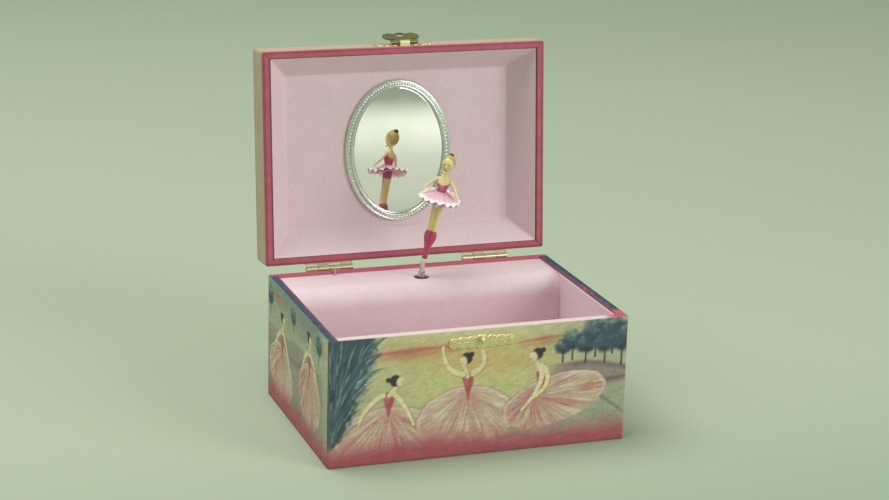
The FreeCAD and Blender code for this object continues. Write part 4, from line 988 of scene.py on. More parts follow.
def tube(path, radii, around=12, flat=1.0, close=True):
    """A ring carried along a path, whose closed ends draw in to a point.

    Each point is the centre plus the radius times the cosine and sine of the way round,
    along the two directions across the path.
    """
    path, radii = np.asarray(path, float), np.asarray(radii, float)
    if close:
        path = np.concatenate([path[:1], path, path[-1:]])
        radii = np.concatenate([[1e-3], radii, [1e-3]])
        inner = frames_along(path[1:-1])
        _, a, b = [np.concatenate([f[:1], f, f[-1:]]) for f in inner]
    else:
        _, a, b = frames_along(path)
    w = np.linspace(0, 2 * math.pi, around, endpoint=False)
    ring = np.cos(w)[None, :, None] * a[:, None, :] + np.sin(w)[None, :, None] * b[:, None, :] * flat
    return path[:, None, :] + radii[:, None, None] * ring


def through(points, count):
    """A smooth line through points, by cubic pieces whose slopes come from their neighbours."""
    points = np.asarray(points, float)
    slope = np.gradient(points, axis=0)
    t = np.linspace(0, len(points) - 1, count)
    i = np.minimum(t.astype(int), len(points) - 2)
    f = (t - i)[:, None]
    a, b = points[i], points[i + 1]
    m, n = slope[i], slope[i + 1]
    first = a * (1 + 2 * f) * (1 - f) ** 2 + m * f * (1 - f) ** 2
    return first + b * f * f * (3 - 2 * f) - n * f * f * (1 - f)


def lean_matrix():
    """Turn that takes straight up to the dancer's leaning axis by the shortest way."""
    k = np.cross([0, 0, 1.0], LEAN)
    s, c = np.linalg.norm(k), LEAN[2]
    k = k / s
    cross = np.array([[0, -k[2], k[1]], [k[2], 0, -k[0]], [-k[1], k[0], 0]])
    return np.eye(3) + s * cross + (1 - c) * cross @ cross


def on_dancer(points):
    """Carries what is drawn upright, facing the front with its feet at the origin, to her place."""
    a = sizes().facing + math.pi / 2
    turn = np.array([[math.cos(a), -math.sin(a), 0], [math.sin(a), math.cos(a), 0], [0, 0, 1]])
    lifted = points @ turn.T + np.array([0, 0, FEET])
    return lifted @ lean_matrix().T + PIVOT


def spring():
    """The coil spring: a wire that winds round a line bending from upright to the dancer's lean."""
    turns, coil_r, wire_r = sizes().spring_turns, 1.06, 0.26
    foot, mid, end = PIVOT - [0, 0, 1.3], PIVOT + [0, 0, 2.6], PIVOT + LEAN * FEET
    t = np.linspace(0, 1, turns * 20 + 1)[:, None]
    line = foot * (1 - t) ** 2 + mid * 2 * t * (1 - t) + end * t * t
    _, a, b = frames_along(line)
    w = t * turns * 2 * math.pi
    coil = line + coil_r * (np.cos(w) * a + np.sin(w) * b)
    wire = tube(coil, np.full(len(coil), wire_r), 8)
    mesh = build("dancer_spring_coil", [patch(wire, wrap=(False, True))])
    piece = bpy.data.objects.new("dancer_spring_coil", mesh)
    bpy.context.scene.collection.objects.link(piece)
    mesh.materials.append(tinned())
    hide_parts("dancer_spring")
    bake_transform(piece)


def ball(middle, radii, shape=None):
    """An oval solid: a sphere's latitudes and longitudes, stretched, as wide at each height as shape says."""
    rows, cols = 24, 32
    u = np.linspace(0, 2 * math.pi, cols, endpoint=False)[None, :]
    v = np.linspace(-math.pi / 2 + 0.01, math.pi / 2 - 0.01, rows)[:, None]
    wide = np.cos(v) * (1 if shape is None else shape(np.sin(v)))
    x, y, z = wide * np.cos(u), wide * np.sin(u), np.broadcast_to(np.sin(v), (rows, cols))
    return np.asarray(middle) + np.stack([x * radii[0], y * radii[1], z * radii[2]], -1)


def figure_parts():
    """The dancer's solids, each closed, to be grown together: body, head, hair, arms and legs."""
    rows, cols = 60, 28
    body = np.array([
        (0.0, 0.2, 29.8, 2.2, 1.9), (0.0, 0.2, 31.5, 2.9, 2.3), (0.0, 0.1, 33.2, 3.0, 2.3),
        (0.0, 0.0, 35.6, 2.1, 1.75), (0.0, -0.1, 38.2, 2.5, 2.1), (0.0, -0.45, 40.6, 3.1, 2.6),
        (0.0, -0.2, 42.6, 3.3, 2.2), (0.0, 0.0, 44.0, 3.2, 1.7), (0.0, 0.0, 45.0, 1.9, 1.35),
        (0.0, -0.1, 46.2, 1.15, 1.15), (0.0, -0.3, 48.4, 1.1, 1.1),
    ])
    line = through(body, rows)
    w = np.linspace(0, 2 * math.pi, cols, endpoint=False)
    rings = np.stack([
        line[:, 0, None] + line[:, 3, None] * np.cos(w), line[:, 1, None] + line[:, 4, None] * np.sin(w),
        np.broadcast_to(line[:, 2, None], (rows, cols)),
    ], -1)
    ends = [np.broadcast_to(rings[k].mean(0), (1, cols, 3)) for k in (0, -1)]
    parts = [(np.concatenate([ends[0], rings, ends[1]]), False)]

    def jaw(height):
        return 1 - 0.20 * smooth(0.1, -0.95, height) + 0.03 * smooth(-0.2, 0.5, height)

    parts.append((ball((0, -0.45, 51.5), (3.15, 3.45, 4.55), jaw), False))
    parts.append((ball((0, 0.35, 52.3), (3.4, 3.6, 4.35)), False))
    parts.append((ball((0, 2.0, 56.1), (1.45, 1.4, 1.2)), False))
    parts.append((ball((0, -3.75, 50.9), (0.42, 0.55, 0.75)), False))
    parts.append((ball((0, -3.45, 49.35), (0.75, 0.35, 0.32)), False))
    parts.append((ball((0, -3.1, 47.7), (0.9, 0.7, 0.55)), False))
    for side in (-1, 1):
        leg = through([
            (side * 0.35, -0.1, 0.4, 0.75), (side * 0.45, -0.1, 1.6, 0.95), (side * 0.5, 0.0, 4.0, 1.0),
            (side * 0.7, 0.1, 7.5, 1.15), (side * 1.4, 0.5, 12.8, 1.95), (side * 1.1, 0.1, 16.4, 1.35),
            (side * 1.05, -0.2, 18.8, 1.4), (side * 1.05, 0.0, 25.0, 1.5), (side * 1.1, 0.1, 31.0, 1.9),
        ], 48)
        parts.append((tube(leg[:, :3], leg[:, 3], 18), True))
        arm = through([
            (side * 2.9, 0.0, 43.5, 1.2), (side * 4.2, -0.1, 42.6, 1.1), (side * 6.7, -0.7, 39.9, 0.95),
            (side * 8.4, -1.6, 37.7, 0.8), (side * 9.3, -2.2, 36.3, 0.64),
        ], 30)
        parts.append((tube(arm[:, :3], arm[:, 3], 16), True))
        hand = through([
            (side * 9.3, -2.2, 36.3, 0.64), (side * 9.7, -2.4, 35.5, 0.64), (side * 10.0, -2.5, 34.7, 0.42),
        ], 10)
        parts.append((tube(hand[:, :3], hand[:, 3], 12, flat=0.6), True))
    parts.append((ball((0, 0, 0.5), (1.5, 1.5, 0.9)), False))
    return parts


def figure_paint(p):
    """Colours of the moulded figure by place: stockings, skin, bodice, hair and a painted face, with painted shade
    under the skirt and painted highlights on the bodice front and the arms.
    """
    x, y, z = p.T
    c = colours()
    skin, dress, hair = np.array(c.skin), np.array(c.dress), np.array(c.hair)
    paint = np.tile(skin, (len(p), 1))

    def lay(colour, cover):
        nonlocal paint
        paint = paint + (np.asarray(colour) - paint) * cover[:, None]

    # Skin warmer and darker on the legs just under the skirt: painted shade.
    lay(skin * [0.98, 0.90, 0.84], 0.5 * smooth(26, 32, z) * (1 - smooth(33, 35, z)))
    lay(dress, 1 - smooth(15.9, 16.3, z))
    lay(dress * 0.82, 0.8 * (1 - smooth(1.9, 2.3, z)))
    lay(np.array([0.93, 0.93, 0.9]), 1 - smooth(0.75, 0.95, z))
    chest = 41.0 + 0.25 * np.abs(x) ** 1.4 - 0.25 * smooth(0, 2, y)
    torso = (np.hypot(x / 3.9, y / 3.2) < 1) & (z > 28)
    bodice = smooth(29.6, 30.2, z) * (1 - smooth(chest - 0.12, chest + 0.12, z)) * torso
    lay(dress, bodice)
    # Lighter pink down the middle of the bodice front: painted highlight.
    lay([0.90, 0.62, 0.68], 0.7 * bodice * np.exp(-((x / 1.3) ** 2)) * (y < 0))
    # Arms paler than the rest of the skin: painted highlight.
    arm = smooth(3.0, 4.2, np.abs(x)) * (z > 30)
    lay([0.95, 0.91, 0.82], 0.6 * arm)
    head = z > 47.6
    cap = smooth(-0.25, 0.15, y + 1.55 + 0.75 * (z - 54.3) + 0.10 * x * x) * (z > 50.2)
    nape = smooth(0.6, 1.0, y) * (z > 48.6)
    lay(hair, np.clip(cap + nape, 0, 1) * head)
    shine = 0.5 + 0.5 * np.cos(14 * np.arctan2(x, z - 52) + 3 * y)
    lay(hair * 0.72, 0.5 * shine * np.clip(cap + nape, 0, 1) * head)
    knot = np.hypot(np.hypot(x, y - 2.0), z - 56.3)
    lay([0.33, 0.21, 0.14], 1 - smooth(1.55, 1.9, knot))
    face = (y < -1.2) * head
    for side in (-1, 1):
        eye = np.hypot((x - side * 1.22) / 0.55, (z - 51.75) / 0.30)
        lay([0.97, 0.96, 0.93], (1 - smooth(0.85, 1.1, eye)) * face)
        iris = np.hypot((x - side * 1.20) / 0.24, (z - 51.75) / 0.27)
        lay([0.16, 0.22, 0.28], (1 - smooth(0.8, 1.15, iris)) * face)
        off = x - side * 1.22
        lid = np.exp(-(((z - 52.08 + 0.35 * off**2) / 0.10) ** 2)) * (np.abs(off) < 0.68)
        lay([0.22, 0.14, 0.10], 0.9 * lid * face)
        off = x - side * 1.25
        brow = np.exp(-(((z - 52.85 + 0.22 * off**2) / 0.12) ** 2)) * (np.abs(off) < 0.8)
        lay(hair * 0.9, 0.75 * brow * face)
        cheek = np.exp(-(np.hypot((x - side * 1.75) / 0.8, (z - 50.4) / 0.6) ** 2))
        lay([0.90, 0.55, 0.50], 0.45 * cheek * face)
    lips = np.hypot(x / (0.78 - 0.2 * np.cos(3 * x)), (z - 49.38) / 0.30)
    lay([0.72, 0.24, 0.28], (1 - smooth(0.8, 1.1, lips)) * face)
    return paint


def dancer():
    """The moulded figure: her solids grown together by a fine remesh, smoothed, then painted by place."""
    patches = []
    for points, tubular in figure_parts():
        patches.append(patch(points, wrap=(False, True), flip=not tubular))
    mesh = build("figure_solids", patches)
    raw = bpy.data.objects.new("figure_solids", mesh)
    bpy.context.scene.collection.objects.link(raw)
    grow = raw.modifiers.new("grow", "REMESH")
    grow.mode, grow.voxel_size = "VOXEL", 0.2 * MM
    ease = raw.modifiers.new("ease", "SMOOTH")
    ease.factor, ease.iterations = 0.5, 4
    shown = raw.evaluated_get(bpy.context.evaluated_depsgraph_get())
    done = bpy.data.meshes.new_from_object(shown)
    bpy.data.objects.remove(raw)
    done.name = "dancer_moulding"
    done.shade_smooth()
    points = np.empty(len(done.vertices) * 3, np.float32)
    done.vertices.foreach_get("co", points)
    points = points.reshape(-1, 3).astype(float) / MM
    set_paint(done, figure_paint(points))
    done.vertices.foreach_set("co", (on_dancer(points) * MM).astype(np.float32).ravel())
    done.update()
    place("dancer_moulding", done, moulded_paint(), "dancer", ["dancer_figure"])


def net_skirt():
    """A strip of net gathered at its middle round the waist.

    Its two ruffles leave the waist together, and each swings up and down in pleats that
    deepen outward.
    """
    pleats, waist_r = sizes().pleats, 2.9
    u = np.linspace(0, 2 * math.pi, pleats * 22, endpoint=False)[:, None]
    v = np.linspace(0, 1, 19)[None, :]
    sheets = []
    for layer, (hub, drop, phase, wide) in enumerate(((37.4, 4.3, 0.0, 7.9), (34.4, 2.6, 1.4, 7.3))):
        deep = 0.08 + 0.5 * v ** 1.4
        wave = np.cos(pleats * u + phase + 0.5 * np.sin(3 * u)) + 0.3 * np.cos(2.0 * pleats * u + 2 * phase)
        lobe = 0.4 * np.cos(5 * u + phase) * v
        r = waist_r + wide * v + 0.25 * v * np.sin(pleats * u + phase) + lobe * 0.4
        swing = u + 0.03 * v * np.sin(pleats * u + phase + 0.9)
        z = hub - drop * v ** 0.75 + deep * wave + lobe * 0.6 + 2.6 * v * np.clip(np.sin(u), 0, 1)
        points = np.stack([r * np.cos(swing), r * np.sin(swing), z], -1)
        s = np.broadcast_to(u * pleats * 2.45 / (2 * math.pi), r.shape)
        uv = np.stack([s, np.broadcast_to(v * wide, r.shape)], -1)
        sheets.append(patch(on_dancer(points), wrap=(True, False), flip=layer == 1, uv=uv))
    mesh = build("dancer_net_skirt", sheets)
    piece = place("dancer_net_skirt", mesh, net(), "dancer", ["dancer_tutu"])


# Finishes


def fresh(name):
    """A material with only its shader and its output."""
    made = bpy.data.materials.new(name)
    made.use_nodes = True
    return made, made.node_tree, made.node_tree.nodes["Principled BSDF"]


def known(name):
    """The material of that name, if it is made already."""
    return bpy.data.materials.get(name)


def add(tree, kind, **settings):
    """A new node with its settings."""
    node = tree.nodes.new(kind)
    for key, value in settings.items():
        setattr(node, key, value)
    return node


def plug(tree, socket, value):
    """Links a socket to another node's, or sets its own value."""
    if isinstance(value, bpy.types.NodeSocket):
        tree.links.new(value, socket)
    else:
        socket.default_value = value


def feed(tree, node, **inputs):
    """Links or sets a node's inputs by name, with _ for a space."""
    for key, value in inputs.items():
        plug(tree, node.inputs[key.replace("_", " ")], value)
    return node


def spread(tree, value, source, target=(0.0, 1.0), **settings):
    """Carries the range source over to the range target."""
    node = add(tree, "ShaderNodeMapRange", **settings)
    feed(tree, node, Value=value)
    for end, before, after in zip(("Min", "Max"), source, target):
        node.inputs[f"From {end}"].default_value = before
        node.inputs[f"To {end}"].default_value = after
    return node.outputs["Result"]


def noise(tree, vector, size, detail=3.0, rough=0.55):
    """A noise node whose lumps are about size millimetres across."""
    node = add(tree, "ShaderNodeTexNoise")
    feed(tree, node, Vector=vector, Scale=1.0 / (size * MM), Detail=detail, Roughness=rough)
    return node.outputs["Fac"]


def grade(tree, value, low, high):
    """Spreads a noise's middle range over low to high."""
    return spread(tree, value, (0.3, 0.7), (low, high))


def mix(tree, factor, a, b, way="MIX"):
    """Two colours mixed."""
    node = add(tree, "ShaderNodeMix", data_type="RGBA", blend_type=way)
    factor_in, a_in, b_in = node.inputs[0], node.inputs[6], node.inputs[7]
    for socket, value in ((factor_in, factor), (a_in, a), (b_in, b)):
        plug(tree, socket, value)
    return node.outputs[2]


def sums(tree, operation, a, b=0.0):
    """One step of arithmetic."""
    node = add(tree, "ShaderNodeMath", operation=operation)
    for socket, value in zip(node.inputs, (a, b)):
        plug(tree, socket, value)
    return node.outputs[0]


def bump(tree, height, depth, strength=1.0):
    """A bump of that depth in millimetres."""
    node = add(tree, "ShaderNodeBump")
    feed(tree, node, Height=height, Distance=depth * MM, Strength=strength)
    return node.outputs["Normal"]


def effect(name, inputs, outputs, draw):
    """A node group with named inputs and outputs, built once: draw(tree, inputs) returns its outputs."""
    tree = bpy.data.node_groups.get(name)
    if tree:
        return tree
    tree = bpy.data.node_groups.new(name, "ShaderNodeTree")
    for key, kind, value in inputs:
        socket = tree.interface.new_socket(name=key, in_out="INPUT", socket_type=kind)
        socket.default_value = value
    for key, kind in outputs:
        tree.interface.new_socket(name=key, in_out="OUTPUT", socket_type=kind)
    source, sink = tree.nodes.new("NodeGroupInput"), tree.nodes.new("NodeGroupOutput")
    for key, value in draw(tree, source.outputs).items():
        tree.links.new(value, sink.inputs[key])
    return tree


def grain_effect():
    """Soft mottle and a fine tooth, for papers, boards and mouldings."""

    def draw(tree, given):
        place_at = add(tree, "ShaderNodeTexCoord").outputs["Object"]
        scaled = add(tree, "ShaderNodeVectorMath", operation="SCALE")
        tree.links.new(place_at, scaled.inputs[0])
        tree.links.new(given["Fineness"], scaled.inputs["Scale"])
        vector = scaled.outputs[0]
        wide, fine = noise(tree, vector, 14.0, 4.0), noise(tree, vector, 0.6, 5.0, 0.65)
        dark = mix(tree, 1.0, given["Colour"], (0.86, 0.85, 0.86, 1), "MULTIPLY")
        amount = sums(tree, "MULTIPLY", grade(tree, wide, 0.0, 1.0), given["Mottle"])
        toned = mix(tree, amount, given["Colour"], dark)
        speck = sums(tree, "MULTIPLY", grade(tree, fine, 0.0, 1.0), given["Speckle"])
        colour = mix(tree, speck, toned, dark)
        rough = sums(tree, "ADD", given["Roughness"], grade(tree, wide, -0.06, 0.06))
        return {"Colour": colour, "Roughness": rough, "Height": fine}

    return effect(
        "paper_grain",
        [("Colour", "NodeSocketColor", (0.8, 0.8, 0.8, 1)), ("Fineness", "NodeSocketFloat", 1.0),
         ("Mottle", "NodeSocketFloat", 0.5), ("Speckle", "NodeSocketFloat", 0.3),
         ("Roughness", "NodeSocketFloat", 0.5)],
        [("Colour", "NodeSocketColor"), ("Roughness", "NodeSocketFloat"), ("Height", "NodeSocketFloat")],
        draw,
    )


def metal_effect():
    """Cloudy tarnish and hairline scratches of plated metal."""

    def draw(tree, given):
        place_at = add(tree, "ShaderNodeTexCoord").outputs["Object"]
        wide = noise(tree, place_at, 5.0, 5.0, 0.6)
        stretch = add(tree, "ShaderNodeMapping")
        feed(tree, stretch, Vector=place_at, Scale=(0.12, 1.0, 1.0), Rotation=(0.3, 0.2, 0.5))
        lines = noise(tree, stretch.outputs[0], 0.35, 2.0, 0.8)
        tarnish = mix(tree, 1.0, given["Colour"], (0.72, 0.62, 0.50, 1), "MULTIPLY")
        amount = sums(tree, "MULTIPLY", grade(tree, wide, 0.0, 1.0), given["Tarnish"])
        colour = mix(tree, amount, given["Colour"], tarnish)
        spread = sums(tree, "MULTIPLY", grade(tree, lines, -0.5, 0.5), 0.16)
        rough = sums(tree, "ADD", given["Roughness"], sums(tree, "ADD", spread, grade(tree, wide, -0.05, 0.09)))
        height = sums(tree, "ADD", lines, sums(tree, "MULTIPLY", wide, 0.5))
        return {"Colour": colour, "Roughness": rough, "Height": height}

    return effect(
        "plated_metal",
        [("Colour", "NodeSocketColor", (0.8, 0.8, 0.8, 1)), ("Tarnish", "NodeSocketFloat", 0.4),
         ("Roughness", "NodeSocketFloat", 0.3)],
        [("Colour", "NodeSocketColor"), ("Roughness", "NodeSocketFloat"), ("Height", "NodeSocketFloat")],
        draw,
    )


def metal(name, shown, rough, tarnish, depth=0.012, metallic=1.0):
    """A metal finish from the plated-metal effect."""
    if known(name):
        return known(name)
    made, tree, shader = fresh(name)
    wear = add(tree, "ShaderNodeGroup", node_tree=metal_effect())
    feed(tree, wear, Colour=rgba(shown), Tarnish=tarnish, Roughness=rough)
    feed(tree, shader, Base_Color=wear.outputs["Colour"], Roughness=wear.outputs["Roughness"])
    feed(tree, shader, Metallic=metallic, Normal=bump(tree, wear.outputs["Height"], depth, 0.6))
    return made


def gilt():
    return metal("gilt_plate", colours().gilt, 0.34, 0.3, metallic=0.8)


def hinge_plate():
    return metal("hinge_plate", colours().hinge, 0.32, 0.4, metallic=0.85)


def steel():
    return metal("bright_steel", (0.78, 0.78, 0.76), 0.24, 0.15)


def tinned():
    return metal("tinned_wire", (0.90, 0.87, 0.84), 0.42, 0.1, 0.004)


# The clasp flap's gilt: a darker base colour as painted shade, with heavier tarnish.
def shaded_gilt():
    return metal("shaded_gilt", (0.60, 0.57, 0.42), 0.42, 0.8, 0.02)


def silver():
    return metal("pressed_silver", (0.88, 0.91, 0.88), 0.26, 0.08, 0.002)


def zinc():
    return metal("cast_zinc", (0.66, 0.66, 0.65), 0.48, 0.3, 0.05)


def gear_brass():
    return metal("wheel_brass", (0.86, 0.74, 0.44), 0.3, 0.35)


def blued():
    return metal("blued_steel", (0.34, 0.36, 0.44), 0.3, 0.3)


def paper(name, shown, fineness, mottle, speckle, rough, depth, attribute=None, coat=0.0, sheen=0.0):
    """A paper, board or moulding finish from the grain effect, over a plain colour or the paint attribute."""
    if known(name):
        return known(name)
    made, tree, shader = fresh(name)
    grain = add(tree, "ShaderNodeGroup", node_tree=grain_effect())
    feed(tree, grain, Fineness=fineness, Mottle=mottle, Speckle=speckle, Roughness=rough)
    if attribute:
        source = add(tree, "ShaderNodeAttribute", attribute_name=attribute)
        feed(tree, grain, Colour=source.outputs["Color"])
    else:
        feed(tree, grain, Colour=rgba(shown))
    feed(tree, shader, Base_Color=grain.outputs["Colour"], Roughness=grain.outputs["Roughness"])
    feed(tree, shader, Normal=bump(tree, grain.outputs["Height"], depth, 0.7))
    shader.inputs["Coat Weight"].default_value = coat
    shader.inputs["Coat Roughness"].default_value = 0.3
    shader.inputs["Specular IOR Level"].default_value = 0.3
    shader.inputs["Sheen Weight"].default_value = sheen
    return made


def printed_paper():
    return paper("varnished_print", None, 1.0, 0.35, 0.3, 0.58, 0.03, attribute="paint", coat=0.06)


def moulded_paint():
    return paper("moulded_paint", None, 2.0, 0.12, 0.1, 0.34, 0.01, attribute="paint", coat=0.35)


def board():
    return paper("fibre_board", (0.64, 0.53, 0.40), 1.0, 1.0, 0.9, 0.85, 0.08)


def bottom_paper():
    return paper("underside_paper", (0.42, 0.36, 0.37), 1.2, 0.7, 0.6, 0.9, 0.06)


def lining_paper():
    """Pink paper with a pressed pebble pattern: cells raise the surface and tint it a little."""
    name = "lining_paper"
    if known(name):
        return known(name)
    made, tree, shader = fresh(name)
    grain = add(tree, "ShaderNodeGroup", node_tree=grain_effect())
    feed(tree, grain, Colour=rgba(colours().lining), Fineness=1.0, Mottle=0.3, Speckle=0.16, Roughness=0.62)
    place_at = add(tree, "ShaderNodeTexCoord").outputs["Object"]
    cells = add(tree, "ShaderNodeTexVoronoi", feature="SMOOTH_F1")
    feed(tree, cells, Vector=place_at, Scale=1.0 / (0.9 * MM), Smoothness=0.5)
    height = sums(tree, "ADD", cells.outputs["Distance"], sums(tree, "MULTIPLY", grain.outputs["Height"], 0.5))
    deep = mix(tree, 1.0, grain.outputs["Colour"], (0.93, 0.88, 0.88, 1), "MULTIPLY")
    colour = mix(tree, grade(tree, cells.outputs["Distance"], 0.0, 0.6), grain.outputs["Colour"], deep)
    feed(tree, shader, Base_Color=colour, Roughness=grain.outputs["Roughness"])
    feed(tree, shader, Normal=bump(tree, height, 0.07, 0.6))
    shader.inputs["Sheen Weight"].default_value = 0.15
    return made


def mirror_glass():
    """Silvered glass: a faint haze in the roughness, and a slightly uneven tone."""
    name = "silvered_glass"
    if known(name):
        return known(name)
    made, tree, shader = fresh(name)
    place_at = add(tree, "ShaderNodeTexCoord").outputs["Object"]
    haze = grade(tree, noise(tree, place_at, 9.0, 4.0), 0.012, 0.05)
    uneven = grade(tree, noise(tree, place_at, 22.0), 0.0, 1.0)
    tone = mix(tree, uneven, rgba((0.95, 0.94, 0.945)), rgba((0.92, 0.92, 0.92)))
    feed(tree, shader, Base_Color=tone, Metallic=1.0, Roughness=haze)
    return made


def net():
    """Gathered net: two sets of slanting threads on the cloth's own map, with a closed lace edge."""
    name = "skirt_net"
    if known(name):
        return known(name)
    made, tree, shader = fresh(name)
    at = add(tree, "ShaderNodeUVMap", uv_map="cloth").outputs["UV"]
    split = add(tree, "ShaderNodeSeparateXYZ")
    tree.links.new(at, split.inputs[0])
    across, out = split.outputs["X"], split.outputs["Y"]
    mesh_size = 0.55
    pitch = 2 * math.pi / mesh_size

    def threads(way):
        wave = sums(tree, "SINE", sums(tree, "MULTIPLY", sums(tree, way, across, out), pitch / 2))
        return sums(tree, "ABSOLUTE", wave)

    thread = sums(tree, "MINIMUM", threads("ADD"), threads("SUBTRACT"))
    hole = spread(tree, thread, (0.35, 0.6), (1.0, 0.72))
    lace = spread(tree, out, (4.6, 6.4))
    solid = sums(tree, "MAXIMUM", hole, lace)
    tone = mix(tree, lace, rgba(colours().net), rgba((0.98, 0.93, 0.94)))
    near_waist = spread(tree, out, (0.0, 3.0), (0.35, 0.0))
    tone = mix(tree, near_waist, tone, rgba(colours().dress))
    feed(tree, shader, Base_Color=tone, Roughness=0.8, Alpha=solid, Normal=bump(tree, thread, 0.05, 0.5))
    shader.inputs["Sheen Weight"].default_value = 0.3
    return made


# Operators, one for each piece or group of like pieces


class MUSICBOX_OT_metalwork(bpy.types.Operator):
    """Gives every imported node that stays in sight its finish"""

    bl_idname = "musicbox.metalwork"
    bl_label = "Finish packed parts"
    bl_options = {"REGISTER", "UNDO"}

    def execute(self, context):
        finishes = {
            "board": board, "printed_paper": printed_paper, "bottom_paper": bottom_paper,
            "pink_lining": lining_paper, "gilt_metal": gilt, "hinge_metal": hinge_plate, "steel": steel,
            "zinc_casting": zinc, "gear_brass": gear_brass, "spring_steel": blued,
            "mirror_glass": mirror_glass, "silver_frame": silver, "figure_plastic": board,
            "tutu_net": board,
        }
        for part in frame["record"]["subparts"]:
            node = frame["nodes"][part["node"]]
            node.data.materials.clear()
            # The clasp flap takes the darker gilt: painted shade.
            finish = shaded_gilt if part["node"] == "clasp_flap" else finishes[part["material_slot"]]
            node.data.materials.append(finish())
        return {"FINISHED"}


class MUSICBOX_OT_base_papers(bpy.types.Operator):
    """Makes the printed paper round the base"""

    bl_idname = "musicbox.base_papers"
    bl_label = "Base papers"
    bl_options = {"REGISTER", "UNDO"}

    def execute(self, context):
        base_papers()
        return {"FINISHED"}


class MUSICBOX_OT_lid_papers(bpy.types.Operator):
    """Makes the printed paper over the lid"""

    bl_idname = "musicbox.lid_papers"
    bl_label = "Lid papers"
    bl_options = {"REGISTER", "UNDO"}

    def execute(self, context):
        lid_papers()
        return {"FINISHED"}


class MUSICBOX_OT_linings(bpy.types.Operator):
    """Makes the pink linings of the lid and the compartment"""

    bl_idname = "musicbox.linings"
    bl_label = "Linings"
    bl_options = {"REGISTER", "UNDO"}

    def execute(self, context):
        lid_lining()
        tray_lining()
        return {"FINISHED"}


class MUSICBOX_OT_mirror(bpy.types.Operator):
    """Makes the mirror's frame and glass"""

    bl_idname = "musicbox.mirror"
    bl_label = "Mirror"
    bl_options = {"REGISTER", "UNDO"}

    def execute(self, context):
        mirror()
        return {"FINISHED"}


class MUSICBOX_OT_catch(bpy.types.Operator):
    """Makes the pressed catch plate"""

    bl_idname = "musicbox.catch"
    bl_label = "Catch plate"
    bl_options = {"REGISTER", "UNDO"}

    def execute(self, context):
        catch_piece()
        return {"FINISHED"}


class MUSICBOX_OT_spring(bpy.types.Operator):
    """Makes the coil spring under the dancer"""

    bl_idname = "musicbox.spring"
    bl_label = "Spring"
    bl_options = {"REGISTER", "UNDO"}

    def execute(self, context):
        spring()
        return {"FINISHED"}


class MUSICBOX_OT_dancer(bpy.types.Operator):
    """Makes the moulded dancer and her net skirt"""

    bl_idname = "musicbox.dancer"
    bl_label = "Dancer"
    bl_options = {"REGISTER", "UNDO"}

    def execute(self, context):
        dancer()
        net_skirt()
        return {"FINISHED"}


class MUSICBOX_OT_stage(bpy.types.Operator):
    """Makes the floor, the lights and the camera"""

    bl_idname = "musicbox.stage"
    bl_label = "Stage"
    bl_options = {"REGISTER", "UNDO"}

    def execute(self, context):
        floor()
        lights()
        camera()
        return {"FINISHED"}


def floor():
    """A wide seamless floor: a grid that curves up far behind the box, its colour darker and lighter in bands
    along Y as painted light and shade.
    """
    x = np.linspace(-9000, 9000, 41)[:, None]
    t = np.linspace(0, 1, 61)[None, :]
    y = -5000 + 14000 * t
    z = 2600 * smooth(0.55, 1.0, t)
    x, y, z = np.broadcast_arrays(x, y, z)
    mesh = build("floor", [patch(np.stack([x, y, z], -1))])
    made, tree, shader = fresh("seamless_floor")
    place_at = add(tree, "ShaderNodeTexCoord").outputs["Object"]
    split = add(tree, "ShaderNodeSeparateXYZ")
    tree.links.new(place_at, split.inputs[0])
    colour = np.array(colours().floor)
    uneven = grade(tree, noise(tree, place_at, 420.0, 2.0), 0.0, 0.35)
    tone = mix(tree, uneven, rgba(colour), rgba(colour * 0.97))
    # Bands along Y that set the floor colour: darker from just in front of the box (painted shadow), lighter from
    # half a metre out and lighter still from a metre out (painted light), and a little darker far behind (painted
    # shade).
    painted_light_and_shade = (
        (0.05, -0.28, [0.86, 0.90, 0.88]),
        (-0.45, -1.0, [1.1, 1.06, 1.1]),
        (-1.1, -2.2, [1.36, 1.30, 1.38]),
        (0.7, 2.2, [0.93, 1.0, 0.94]),
    )
    for low, high, shade in painted_light_and_shade:
        reach = spread(tree, split.outputs["Y"], (low, high), interpolation_type="SMOOTHSTEP")
        tone = mix(tree, reach, tone, rgba(np.clip(colour * shade, 0, 1)))
    feed(tree, shader, Base_Color=tone, Roughness=0.85)
    feed(tree, shader, Normal=bump(tree, noise(tree, place_at, 0.8), 0.02, 0.3))
    mesh.materials.append(made)
    ground_piece = bpy.data.objects.new("floor", mesh)
    bpy.context.scene.collection.objects.link(ground_piece)


def area_light(name, place_at, toward, size, power, colour):
    """A round soft light at a place, aimed at another."""
    lamp = bpy.data.lights.new(name, "AREA")
    lamp.shape, lamp.size, lamp.energy, lamp.color = "DISK", size, power, colour
    holder = bpy.data.objects.new(name, lamp)
    bpy.context.scene.collection.objects.link(holder)
    away = np.array(place_at) - np.array(toward)
    holder.location = place_at
    holder.rotation_euler = Vector(away).to_track_quat("Z", "Y").to_euler()
    holder.visible_glossy = True


def lights():
    """A wide soft light overhead, a weaker one from the front right, and pale light all round."""
    area_light("overhead", (-0.55, 0.3, 1.8), (0.0, 0.0, 0.05), 1.5, 27.0, (1.0, 0.99, 0.98))
    area_light("front_fill", (1.5, -1.85, 1.0), (0.0, 0.0, 0.08), 1.5, 29.0, (1.0, 0.99, 0.98))
    world = bpy.data.worlds.new("room")
    world.use_nodes = True
    back = world.node_tree.nodes["Background"]
    back.inputs["Color"].default_value = rgba((0.80, 0.86, 0.78))
    back.inputs["Strength"].default_value = 0.55
    bpy.context.scene.world = world


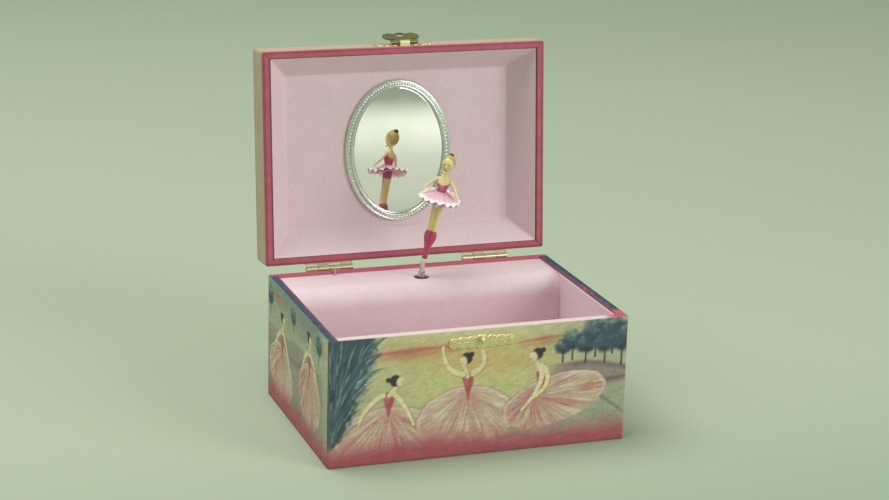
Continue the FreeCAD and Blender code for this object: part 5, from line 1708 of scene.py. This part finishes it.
def camera():
    """The camera, looking down at the box from the front left with a slight roll."""
    yaw, pitch, roll = (math.radians(angle) for angle in CAMERA_TURN)
    ahead = Vector((math.sin(yaw) * math.cos(pitch), math.cos(yaw) * math.cos(pitch), -math.sin(pitch)))
    right = Vector((math.cos(yaw), -math.sin(yaw), 0))
    up = right.cross(ahead)
    turned_right = right * math.cos(roll) + up * math.sin(roll)
    turned_up = up * math.cos(roll) - right * math.sin(roll)
    lens = bpy.data.cameras.new("camera")
    lens.sensor_width, lens.lens = 36.0, sizes().lens
    lens.clip_start, lens.clip_end = 0.01, 50.0
    holder = bpy.data.objects.new("camera", lens)
    bpy.context.scene.collection.objects.link(holder)
    turn = Matrix((turned_right, turned_up, -ahead)).transposed().to_4x4()
    holder.matrix_world = Matrix.Translation(CAMERA_AT) @ turn
    bpy.context.scene.camera = holder
    bpy.context.scene.view_settings.view_transform = "Standard"


class MUSICBOX_PT_panel(bpy.types.Panel):
    """Lists the music box's pieces and settings"""

    bl_label = "Music Box"
    bl_space_type = "VIEW_3D"
    bl_region_type = "UI"
    bl_category = "Music Box"

    def draw(self, context):
        for operator in OPERATORS:
            self.layout.operator(operator.bl_idname)
        for group in (context.scene.box_sizes, context.scene.box_colours):
            for name in group.__annotations__:
                self.layout.prop(group, name)


OPERATORS = (
    MUSICBOX_OT_metalwork,
    MUSICBOX_OT_base_papers,
    MUSICBOX_OT_lid_papers,
    MUSICBOX_OT_linings,
    MUSICBOX_OT_mirror,
    MUSICBOX_OT_catch,
    MUSICBOX_OT_spring,
    MUSICBOX_OT_dancer,
    MUSICBOX_OT_stage,
)
CLASSES = (BoxSizes, BoxColours, *OPERATORS, MUSICBOX_PT_panel)


def register():
    for item in CLASSES:
        bpy.utils.register_class(item)
    bpy.types.Scene.box_sizes = PointerProperty(type=BoxSizes)
    bpy.types.Scene.box_colours = PointerProperty(type=BoxColours)


def unregister():
    del bpy.types.Scene.box_sizes
    del bpy.types.Scene.box_colours
    for item in reversed(CLASSES):
        bpy.utils.unregister_class(item)


def main():
    """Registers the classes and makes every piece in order."""
    register()
    bpy.ops.musicbox.metalwork()
    bpy.ops.musicbox.base_papers()
    bpy.ops.musicbox.lid_papers()
    bpy.ops.musicbox.linings()
    bpy.ops.musicbox.mirror()
    bpy.ops.musicbox.catch()
    bpy.ops.musicbox.spring()
    bpy.ops.musicbox.dancer()
    bpy.ops.musicbox.stage()


if __name__ == "__main__":
    main()
